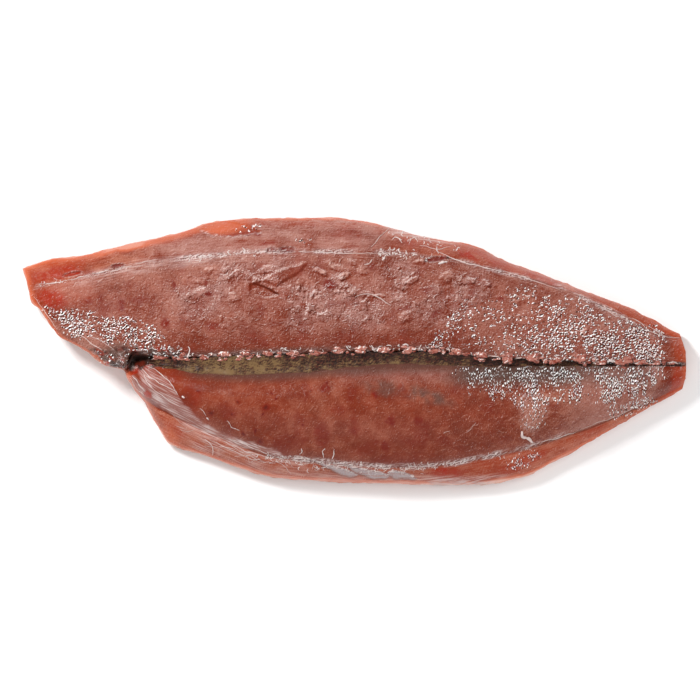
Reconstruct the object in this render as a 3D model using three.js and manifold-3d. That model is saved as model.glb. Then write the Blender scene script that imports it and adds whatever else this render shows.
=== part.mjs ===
// One side of a raw fish, headed, tailed, finned and skinned, lying on its flat cut face.
// Millimetres. +X runs from the head cut to the tail cut, +Y towards the back, +Z up.
// The origin is under the middle of the side, on the surface that it rests on.
import * as THREE from "three";
import { mergeVertices } from "three/addons/utils/BufferGeometryUtils.js";
import Module from "manifold-3d";

// Driving dimensions.
const THICKNESS = 54; // crest of the upper lobe above the board
const TAIL_X = 210; // furthest point of the tail cut
const TAIL_BULGE = 0.0095; // how fast the tail cut falls back from that point, per mm squared
const TAIL_MIDDLE_Y = -9;
const RIM_HEIGHT = 7; // where the outline is widest
const HALF_SIZE = [210, 85]; // half the length and half the width, as seen from above
const STRIP_CURVE = 0.62; // how an edge strip climbs to its seam: below 1 it is steepest at the outline
const UNDERCUT = 4; // how far the resting face lies inside the outline
const SEAM_DEPTH = 1.3; // the crease between a lobe and its edge strip
const SEAM_WIDTH = 3;
const CUT_ROUNDING = { drop: 0.22, reach: 7 }; // the flesh sinks towards a cut by this share, over this length

// The groove along the middle, open between its two lips.
const GROOVE_DEPTH = 7.5;
const GROOVE_FLOOR = 0.72; // share of its width, from the belly lip, where it is deepest

// Stubs of bone and gristle along the upper lip.
const STUBS = { first: -119, last: 172, pitch: 14.5, jitter: 1.6, size: [3.3, 2.3, 2.2] };

// The pit where the groove meets the head cut.
const PIT = { x: -135.5, y: -5, radius: [5.8, 4.8], depth: 20 };

// Grid of the upper face.
const STEPS_ALONG = 88;
const SMALLEST = 0.06; // slivers left by the cuts are closed up below this

// Long lines of the side as seen from above, head to tail: [x, y].
const LINES = {
  backEdge: [
    [-210, 52.5], [-190, 58.5], [-176, 59.8], [-148, 66.6], [-110, 75], [-90, 81.5], [-60, 84], [-15, 84.5],
    [6, 82], [24, 77.8], [42, 73], [70, 67.8], [82, 64], [92, 58.6], [118, 49], [143, 39.2], [176, 26.8], [194, 17], [208, 10],
  ],
  backSeam: [
    [-210, 38.5], [-173, 46], [-135, 54.5], [-97, 59.5], [-53, 63], [16, 62.5],
    [54, 59.5], [92, 50.5], [130, 40.5], [156, 29], [187, 13.5], [210, 7],
  ],
  upperLip: [
    [-210, -12], [-145, -12], [-138, -2], [-110, -3.5], [-68, -2], [5, 0.5],
    [50, 1.2], [82, -3.2], [113, -4.5], [152, -6.3], [187, -7.6], [210, -8],
  ],
  bellyLip: [
    [-150, -16], [-144, -14.5], [-134, -10], [-118, -9.5], [-104, -12], [-60, -14.5],
    [-2, -10.2], [48, -8.6], [92, -12], [156, -10.8], [187, -9.5], [210, -9.4],
  ],
  bellySeam: [
    [-145, -20], [-139, -24], [-129, -33], [-110, -43], [-85, -54.5], [-47, -67.5], [35, -73.5],
    [92, -65.5], [130, -54.5], [156, -45.5], [187, -32], [210, -21],
  ],
  bellyEdge: [
    [-142, -24], [-136, -29], [-132, -33.5], [-124, -48.5], [-116, -59], [-97, -65.5], [-47, -80.5], [-9, -83],
    [74, -85], [105, -80.5], [130, -68.5], [181, -39.5], [210, -23],
  ],
};

// The head cut: how far forward the flesh reaches at each height up the page, [y, x].
const HEAD_CUT = [
  [-33, -132], [-26, -138], [-18, -142.5], [-12, -145.5], [-9, -157.5], [-1.5, -167], [3, -174.5],
  [10, -187], [17.5, -192.5], [26.5, -199], [33, -205], [38.5, -206], [52.5, -210],
];

// Share of THICKNESS that the crest of the lobes has along the length, [x, share].
const CREST = [
  [-210, 0.34], [-190, 0.5], [-160, 0.68], [-120, 0.85], [-60, 0.98], [-5, 1],
  [40, 0.98], [90, 0.89], [140, 0.72], [180, 0.52], [210, 0.4],
];

// Across the side, belly to back: each band runs between two lines, and its height is a share of the crest.
const BANDS = [
  { from: "bellyEdge", to: "bellySeam", rows: 6, shape: "strip", low: 0, high: 0.56 },
  { from: "bellySeam", to: "bellyLip", rows: 9, shape: "lobe", low: 0.56, high: 0.84, swell: 0.27 },
  { from: "bellyLip", to: "upperLip", rows: 4, shape: "groove", low: 0.84, high: 0.88 },
  { from: "upperLip", to: "backSeam", rows: 9, shape: "lobe", low: 0.88, high: 0.66, swell: 0.21 },
  { from: "backSeam", to: "backEdge", rows: 6, shape: "strip", low: 0, high: 0.66 },
];

// A smooth function through [x, value] knots that never swings past them: cubic Hermite pieces
// whose slope at a knot is the harmonic mean of its neighbours', or level at a turning point.
function smooth(knots) {
  const chord = knots.slice(1).map(([x, y], i) => (y - knots[i][1]) / (x - knots[i][0]));
  const slope = knots.map((_, i) => {
    const before = chord[Math.max(i - 1, 0)];
    const after = chord[Math.min(i, chord.length - 1)];
    return before * after <= 0 ? 0 : (2 * before * after) / (before + after);
  });
  return (x) => {
    let i = 0;
    while (i < knots.length - 2 && x > knots[i + 1][0]) i++;
    const [x0, y0] = knots[i];
    const [x1, y1] = knots[i + 1];
    const width = x1 - x0;
    const t = THREE.MathUtils.clamp((x - x0) / width, 0, 1);
    const rise = t * t * (3 - 2 * t);
    const leave = t * (1 - t) * (1 - t) * width;
    const arrive = -t * t * (1 - t) * width;
    return y0 + (y1 - y0) * rise + slope[i] * leave + slope[i + 1] * arrive;
  };
}

const line = Object.fromEntries(Object.entries(LINES).map(([name, knots]) => [name, smooth(knots)]));
const headCut = smooth(HEAD_CUT);
const crestShare = smooth(CREST);
const tailCut = (y) => TAIL_X - TAIL_BULGE * (y - TAIL_MIDDLE_Y) ** 2;

// How deep the groove is at x: full in the front half, shallow at the tail.
const grooveDepth = (x) => GROOVE_DEPTH * THREE.MathUtils.smoothstep(-x, -230, -60);

// The height of the upper face at x, at share w of the way across a band.
function heightAt(band, w, x) {
  const crest = THICKNESS * crestShare(x);
  if (band.shape === "strip") {
    const inward = band.from.endsWith("Edge") ? w : 1 - w;
    return RIM_HEIGHT + (band.high * crest - RIM_HEIGHT) * inward ** STRIP_CURVE;
  }
  const level = THREE.MathUtils.lerp(band.low, band.high, w) * crest;
  if (band.shape === "lobe") return level + band.swell * crest * 4 * w * (1 - w);
  const slope = w < GROOVE_FLOOR ? w / GROOVE_FLOOR : (1 - w) / (1 - GROOVE_FLOOR);
  return level - grooveDepth(x) * slope;
}

// The crease where a lobe meets its strip, by distance from the seam.
function crease(x, y) {
  const distance = Math.min(Math.abs(y - line.backSeam(x)), Math.abs(y - line.bellySeam(x)));
  return SEAM_DEPTH * Math.exp(-((distance / SEAM_WIDTH) ** 2));
}

// Where a row meets a cut: the point is moved onto the cut until it stays.
function meet(cut, yAt, start) {
  let x = start;
  for (let i = 0; i < 60; i++) x = (x + cut(yAt(x))) / 2;
  return x;
}

// One row of the upper face, head to tail, as [x, y, z] points.
function rowPoints(band, w) {
  const yAt = (x) => THREE.MathUtils.lerp(line[band.from](x), line[band.to](x), w);
  const head = meet(headCut, yAt, -160);
  const tail = meet(tailCut, yAt, 200);
  return Array.from({ length: STEPS_ALONG + 1 }, (_, i) => {
    const x = THREE.MathUtils.lerp(head, tail, i / STEPS_ALONG);
    const toCut = Math.min(x - head, tail - x);
    const sink = 1 - CUT_ROUNDING.drop * Math.exp(-toCut / CUT_ROUNDING.reach);
    return [x, yAt(x), (heightAt(band, w, x) - crease(x, yAt(x))) * sink];
  });
}

// The whole upper face as rows from the belly edge to the back edge. A line shared by two bands is one row.
function upperRows() {
  const rows = [];
  for (const band of BANDS) {
    const first = rows.length ? 1 : 0;
    for (let i = first; i <= band.rows; i++) {
      // Rows crowd towards the outline, where a strip is steepest.
      const even = i / band.rows;
      const outer = band.from === "bellyEdge" ? even ** 1.6 : 1 - (1 - even) ** 1.6;
      rows.push(rowPoints(band, band.shape === "strip" ? outer : even));
    }
  }
  return rows;
}

// A closed mesh: the upper face, a wall that curves in under the outline, and the flat resting face.
function sideGeometry() {
  const rows = upperRows();
  const points = rows.flat();
  const across = rows.length;
  const along = STEPS_ALONG + 1;
  const at = (row, i) => row * along + i;
  const faces = [];
  for (let r = 0; r < across - 1; r++) {
    for (let i = 0; i < along - 1; i++) {
      faces.push(at(r, i), at(r, i + 1), at(r + 1, i + 1));
      faces.push(at(r, i), at(r + 1, i + 1), at(r + 1, i));
    }
  }

  // The outline, anticlockwise from above: belly edge, tail cut, back edge, head cut.
  const rim = [];
  for (let i = 0; i < along; i++) rim.push(at(0, i));
  for (let r = 1; r < across; r++) rim.push(at(r, along - 1));
  for (let i = along - 2; i >= 0; i--) rim.push(at(across - 1, i));
  for (let r = across - 2; r > 0; r--) rim.push(at(r, 0));

  // Each lower ring is the outline shrunk about the origin, further the lower it lies.
  const ringAt = (fall) => {
    const first = points.length;
    const tuck = UNDERCUT * fall ** 2.4;
    const shrink = [1 - tuck / HALF_SIZE[0], 1 - tuck / HALF_SIZE[1]];
    for (const corner of rim) {
      const [x, y, z] = points[corner];
      points.push([x * shrink[0], y * shrink[1], z * (1 - fall)]);
    }
    return rim.map((_, k) => first + k);
  };
  let ring = rim;
  for (const fall of [0.5, 0.85, 1]) {
    const next = ringAt(fall);
    ring.forEach((corner, k) => {
      const k1 = (k + 1) % ring.length;
      faces.push(corner, next[k], next[k1]);
      faces.push(corner, next[k1], ring[k1]);
    });
    ring = next;
  }
  const contour = ring.map((corner) => new THREE.Vector2(points[corner][0], points[corner][1]));
  for (const [a, b, c] of THREE.ShapeUtils.triangulateShape(contour, [])) {
    faces.push(ring[a], ring[c], ring[b]);
  }

  const geometry = new THREE.BufferGeometry();
  geometry.setAttribute("position", new THREE.Float32BufferAttribute(points.flat(), 3));
  geometry.setIndex(faces);
  return geometry;
}

// Repeatable random numbers from 0 to 1.
function seeded(seed) {
  let state = seed;
  return () => {
    state = (state * 1664525 + 1013904223) % 4294967296;
    return state / 4294967296;
  };
}

// The height of the upper lip at x.
const lipHeight = (x) => heightAt(BANDS[2], 1, x);

// Low lumps, one at each joint of the backbone, each turned and sized a little differently.
function stubGeometries() {
  const random = seeded(7);
  const made = [];
  for (let x = STUBS.first; x <= STUBS.last; x += STUBS.pitch) {
    const lump = new THREE.IcosahedronGeometry(1, 0);
    const grow = 0.85 + 0.35 * random();
    const [long, wide, tall] = STUBS.size;
    lump.rotateZ(random() * Math.PI);
    lump.scale(long * grow, wide * grow, tall * grow);
    const place = x + STUBS.jitter * (2 * random() - 1);
    lump.translate(place, line.upperLip(place) - 0.4, lipHeight(place) + 0.2);
    made.push(lump);
  }
  return made;
}

// A pit that narrows downwards from the upper face.
function pitGeometry() {
  const pit = new THREE.IcosahedronGeometry(1, 2);
  pit.scale(PIT.radius[0], PIT.radius[1], PIT.depth);
  pit.translate(PIT.x, PIT.y, lipHeight(PIT.x));
  return pit;
}

const wasm = await Module();
wasm.setup();

function toSolid(geometry) {
  const bare = geometry.clone();
  bare.deleteAttribute("normal");
  bare.deleteAttribute("uv");
  const merged = mergeVertices(bare, 1e-4);
  return new wasm.Manifold(
    new wasm.Mesh({
      numProp: 3,
      vertProperties: new Float32Array(merged.attributes.position.array),
      triVerts: new Uint32Array(merged.index.array),
    }),
  );
}

function toGeometry(solid) {
  const mesh = solid.getMesh();
  const geometry = new THREE.BufferGeometry();
  geometry.setAttribute("position", new THREE.BufferAttribute(mesh.vertProperties, 3));
  geometry.setIndex(new THREE.BufferAttribute(mesh.triVerts, 1));
  geometry.computeVertexNormals();
  return geometry;
}

function fishSide() {
  let solid = toSolid(sideGeometry());
  for (const stub of stubGeometries()) solid = solid.add(toSolid(stub));
  solid = solid.subtract(toSolid(pitGeometry())).simplify(SMALLEST);
  const flesh = new THREE.MeshStandardMaterial({ color: 0x9b6253, roughness: 0.35, metalness: 0 });
  const mesh = new THREE.Mesh(toGeometry(solid), flesh);
  mesh.name = "fish_side";
  return mesh;
}

const side = new THREE.Group();
side.add(fishSide());

export default side;
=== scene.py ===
# A skinned side of raw fish on its flat cut face: red-brown flesh under thin film, white fascia along the
# seams, torn gristle along the groove, a strip of leftover skin and a wet grain with painted glints.
# Shapes are worked out in millimetres and put into the meshes in metres.
from functools import partial

import bpy
import numpy as np
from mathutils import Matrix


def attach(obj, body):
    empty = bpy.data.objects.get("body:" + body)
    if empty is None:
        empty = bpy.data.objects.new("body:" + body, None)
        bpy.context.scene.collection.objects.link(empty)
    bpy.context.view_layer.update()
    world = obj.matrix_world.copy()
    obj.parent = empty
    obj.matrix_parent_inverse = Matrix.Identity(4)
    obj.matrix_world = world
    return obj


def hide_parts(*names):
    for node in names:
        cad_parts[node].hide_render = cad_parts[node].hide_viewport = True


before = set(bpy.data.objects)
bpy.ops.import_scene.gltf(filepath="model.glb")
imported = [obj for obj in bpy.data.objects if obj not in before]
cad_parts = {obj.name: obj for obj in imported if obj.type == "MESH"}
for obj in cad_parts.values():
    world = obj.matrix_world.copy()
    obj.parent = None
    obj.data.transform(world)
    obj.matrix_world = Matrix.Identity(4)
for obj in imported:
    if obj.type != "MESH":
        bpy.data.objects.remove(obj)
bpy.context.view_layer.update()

side = {
    "thickness": 54.0,  # crest of the lobes above the board
    "tailX": 210.0,
    "tailBulge": 0.0095,  # how fast the tail cut falls back from tailX, per mm squared
    "tailMiddleY": -9.0,
    "rimHeight": 7.0,  # where the outline is widest
    "halfSize": (210.0, 85.0),
    "stripCurve": 0.62,  # how an edge strip climbs to its seam
    "undercut": 4.0,
    "seamDepth": 1.3,
    "seamWidth": 3.0,
    "cutDrop": 0.22,  # the flesh sinks towards a cut by this share
    "cutReach": 7.0,
    "grooveDepth": 7.5,
    "grooveFloor": 0.72,  # share of the groove's width, from the belly lip, where it is deepest
}

# Long lines of the side seen from above, head to tail, as (x, y).
lines = {
    "backEdge": [(-210, 52.5), (-190, 58.5), (-176, 59.8), (-148, 66.6), (-110, 75), (-90, 81.5), (-60, 84),
                 (-15, 84.5), (6, 82), (24, 77.8), (42, 73), (70, 67.8), (82, 64), (92, 58.6), (118, 49),
                 (143, 39.2), (176, 26.8), (194, 17), (208, 10)],
    "backSeam": [(-210, 38.5), (-173, 46), (-135, 54.5), (-97, 59.5), (-53, 63), (16, 62.5), (54, 59.5),
                 (92, 50.5), (130, 40.5), (156, 29), (187, 13.5), (210, 7)],
    "upperLip": [(-210, -12), (-145, -12), (-138, -2), (-110, -3.5), (-68, -2), (5, 0.5), (50, 1.2), (82, -3.2),
                 (113, -4.5), (152, -6.3), (187, -7.6), (210, -8)],
    "bellyLip": [(-150, -16), (-144, -14.5), (-134, -10), (-118, -9.5), (-104, -12), (-60, -14.5), (-2, -10.2),
                 (48, -8.6), (92, -12), (156, -10.8), (187, -9.5), (210, -9.4)],
    "bellySeam": [(-145, -20), (-139, -24), (-129, -33), (-110, -43), (-85, -54.5), (-47, -67.5), (35, -73.5),
                  (92, -65.5), (130, -54.5), (156, -45.5), (187, -32), (210, -21)],
    "bellyEdge": [(-142, -24), (-136, -29), (-132, -33.5), (-124, -48.5), (-116, -59), (-97, -65.5),
                  (-47, -80.5), (-9, -83), (74, -85), (105, -80.5), (130, -68.5), (181, -39.5), (210, -23)],
}

# The head cut: how far forward the flesh reaches at each y, as (y, x).
headCutKnots = [(-33, -132), (-26, -138), (-18, -142.5), (-12, -145.5), (-9, -157.5), (-1.5, -167), (3, -174.5),
                (10, -187), (17.5, -192.5), (26.5, -199), (33, -205), (38.5, -206), (52.5, -210)]

# Share of the thickness that the crest has along the length.
crestKnots = [(-210, 0.34), (-190, 0.5), (-160, 0.68), (-120, 0.85), (-60, 0.98), (-5, 1), (40, 0.98),
              (90, 0.89), (140, 0.72), (180, 0.52), (210, 0.4)]

# Bands across the side, belly to back, with the share of the crest at each one's ends.
bands = [
    {"from": "bellyEdge", "to": "bellySeam", "shape": "strip", "low": 0.0, "high": 0.56, "swell": 0.0},
    {"from": "bellySeam", "to": "bellyLip", "shape": "lobe", "low": 0.56, "high": 0.84, "swell": 0.27},
    {"from": "bellyLip", "to": "upperLip", "shape": "groove", "low": 0.84, "high": 0.88, "swell": 0.0},
    {"from": "upperLip", "to": "backSeam", "shape": "lobe", "low": 0.88, "high": 0.66, "swell": 0.21},
    {"from": "backSeam", "to": "backEdge", "shape": "strip", "low": 0.0, "high": 0.66, "swell": 0.0},
]


def hexToLinear(code):
    # An sRGB hex colour as linear red, green, blue and alpha.
    values = [int(code[i:i + 2], 16) / 255 for i in (1, 3, 5)]
    return tuple(v / 12.92 if v <= 0.04045 else ((v + 0.055) / 1.055) ** 2.4 for v in values) + (1.0,)


def smoothStep(low, high, value):
    # 0 at low and before, 1 at high and past it, with an s-curve between.
    t = np.clip((value - low) / (high - low), 0, 1)
    return t * t * (3 - 2 * t)


def smoothLine(knots):
    # Cubic Hermite pieces through the knots. A knot's slope is the harmonic mean of its two chords, or level
    # at a turning point, so the curve never swings past a knot.
    kx, ky = np.array(knots, float).T
    chord = np.diff(ky) / np.diff(kx)
    before, after = np.append(chord[0], chord), np.append(chord, chord[-1])
    slope = np.where(before * after > 0, 2 * before * after / np.where(before + after == 0, 1, before + after), 0)

    def at(x):
        i = np.clip(np.searchsorted(kx, x, side="right") - 1, 0, len(kx) - 2)
        width = kx[i + 1] - kx[i]
        t = np.clip((x - kx[i]) / width, 0, 1)
        bend = slope[i] * t * (1 - t) ** 2 - slope[i + 1] * t * t * (1 - t)
        return ky[i] + (ky[i + 1] - ky[i]) * t * t * (3 - 2 * t) + bend * width

    return at


lineAt = {name: smoothLine(knots) for name, knots in lines.items()}
headCut = smoothLine(headCutKnots)
crestShare = smoothLine(crestKnots)
lineAt["grooveFloor"] = lambda x: (
    lineAt["bellyLip"](x) + side["grooveFloor"] * (lineAt["upperLip"](x) - lineAt["bellyLip"](x))
)


def tailCut(y):
    return side["tailX"] - side["tailBulge"] * (y - side["tailMiddleY"]) ** 2


noiseTable = np.random.default_rng(11).random((256, 256)) * 2 - 1


def waver(x, y, cell, seed=0):
    # Value noise from -1 to 1: random values at the corners of square cells of that size, joined by s-curves.
    u, v = x / cell + 37.13 * seed, y / cell - 21.71 * seed
    i, j = np.floor(u).astype(int), np.floor(v).astype(int)
    s, t = u - i, v - j
    s, t = s * s * (3 - 2 * s), t * t * (3 - 2 * t)
    a, b, c, d = (noiseTable[(i + p) % 256, (j + q) % 256] for p, q in ((0, 0), (1, 0), (0, 1), (1, 1)))
    return (a * (1 - s) + b * s) * (1 - t) + (c * (1 - s) + d * s) * t


def cloud(x, y, cell, layers=4, seed=0):
    # Layers of value noise, each half the cell and half the strength of the one before, about -1 to 1.
    total = sum(waver(x, y, cell * 0.5 ** n, seed + 3 * n + 1) * 0.5 ** n for n in range(layers))
    return total / (2 - 0.5 ** (layers - 1)) * 1.6


def curls(x, y, cell, seed=0):
    # Thin curling ridges, 0 to 1: the zero lines of a noise whose coordinates are themselves pushed about.
    px = x + cell * 1.3 * waver(x, y, cell * 1.6, seed + 5)
    py = y + cell * 1.3 * waver(x, y, cell * 1.6, seed + 9)
    return 1 - np.clip(np.abs(cloud(px, py, cell, 2, seed)) * 3.2, 0, 1)


def tornLayers(x, y, cell, seed=0, steps=3.0):
    # Film torn off in layers: a pushed-about noise cut into steps, each with a short rise. The second result is 1
    # at the curled lip on top of each rise and 0 away from it.
    px = x + cell * 0.8 * waver(x, y, cell * 0.9, seed + 5)
    py = y + cell * 0.8 * waver(x, y, cell * 0.9, seed + 9)
    level = steps * cloud(px, py, cell, 3, seed)
    part = level - np.floor(level)
    lip = np.exp(-(((part - 0.27) / 0.15) ** 2)) * smoothStep(-0.3, 0.2, cloud(x, y, cell * 0.6, 2, seed + 2))
    return (np.floor(level) + smoothStep(0, 0.25, part)) / steps, lip


def facets(x, y, cell, seed=0):
    # A crumpled surface: each point belongs to the nearest of many scattered centres, and each centre has a slope
    # and a tone of its own. Gives the height, in cells, and the tone, -1 to 1.
    u, v = x / cell, y / cell
    i, j = np.floor(u).astype(int), np.floor(v).astype(int)
    best, height, tone = np.full(x.shape, 9.0), np.zeros(x.shape), np.zeros(x.shape)
    for p, q in [(p, q) for p in (-1, 0, 1) for q in (-1, 0, 1)]:
        a, b = (i + p + 17 * seed) % 256, (j + q + 31 * seed) % 256
        du = u - (i + p + 0.5 + 0.45 * noiseTable[a, b])
        dv = v - (j + q + 0.5 + 0.45 * noiseTable[b, a])
        nearer = np.hypot(du, dv) < best
        best = np.where(nearer, np.hypot(du, dv), best)
        slope = du * noiseTable[(a + 91) % 256, b] + dv * noiseTable[a, (b + 53) % 256]
        height = np.where(nearer, slope, height)
        tone = np.where(nearer, noiseTable[(a + 37) % 256, (b + 71) % 256], tone)
    return height, tone


def ragged(x, y, reach=1.3, cell=4.0):
    # The same places pushed about by noise, so that a plain ellipse or outline drawn there comes out torn.
    return x + reach * cloud(x, y, cell, 3, 61), y + reach * cloud(x, y, cell, 3, 67)


def insideOf(x, y, outline, soft):
    # 1 inside a closed outline and 0 outside it, with an s-curve of width soft across its edge.
    nearest, inside = np.full(x.shape, 1e9), np.zeros(x.shape, bool)
    for (ax, ay), (bx, by) in zip(outline, outline[1:] + outline[:1]):
        dx, dy = bx - ax, by - ay
        t = np.clip(((x - ax) * dx + (y - ay) * dy) / (dx * dx + dy * dy), 0, 1)
        nearest = np.minimum(nearest, np.hypot(x - ax - t * dx, y - ay - t * dy))
        if ay != by:
            inside ^= ((ay > y) != (by > y)) & (x < ax + dx * (y - ay) / dy)
    return smoothStep(-soft / 2, soft / 2, np.where(inside, nearest, -nearest))


def nearRoute(x, y, route):
    # Distance from each point to an open chain of straight pieces.
    nearest = np.full(x.shape, 1e9)
    for (ax, ay), (bx, by) in zip(route, route[1:]):
        dx, dy = bx - ax, by - ay
        t = np.clip(((x - ax) * dx + (y - ay) * dy) / (dx * dx + dy * dy), 0, 1)
        nearest = np.minimum(nearest, np.hypot(x - ax - t * dx, y - ay - t * dy))
    return nearest


def spot(x, y, centre, size, turn=0.0):
    # 1 at the centre of an ellipse of that half length and half width, falling to 0 a little outside it.
    c, s = np.cos(np.radians(turn)), np.sin(np.radians(turn))
    along, across = (x - centre[0]) * c + (y - centre[1]) * s, (y - centre[1]) * c - (x - centre[0]) * s
    return 1 - smoothStep(0.35, 1.15, np.hypot(along / size[0], across / size[1]))


def spots(x, y, places):
    # The strongest of several spots, each given as centre, half size, turn and strength.
    total = np.zeros(x.shape)
    for centre, size, turn, strength in places:
        total = np.maximum(total, strength * spot(x, y, centre, size, turn))
    return total


print("lines and noise ready")
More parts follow.
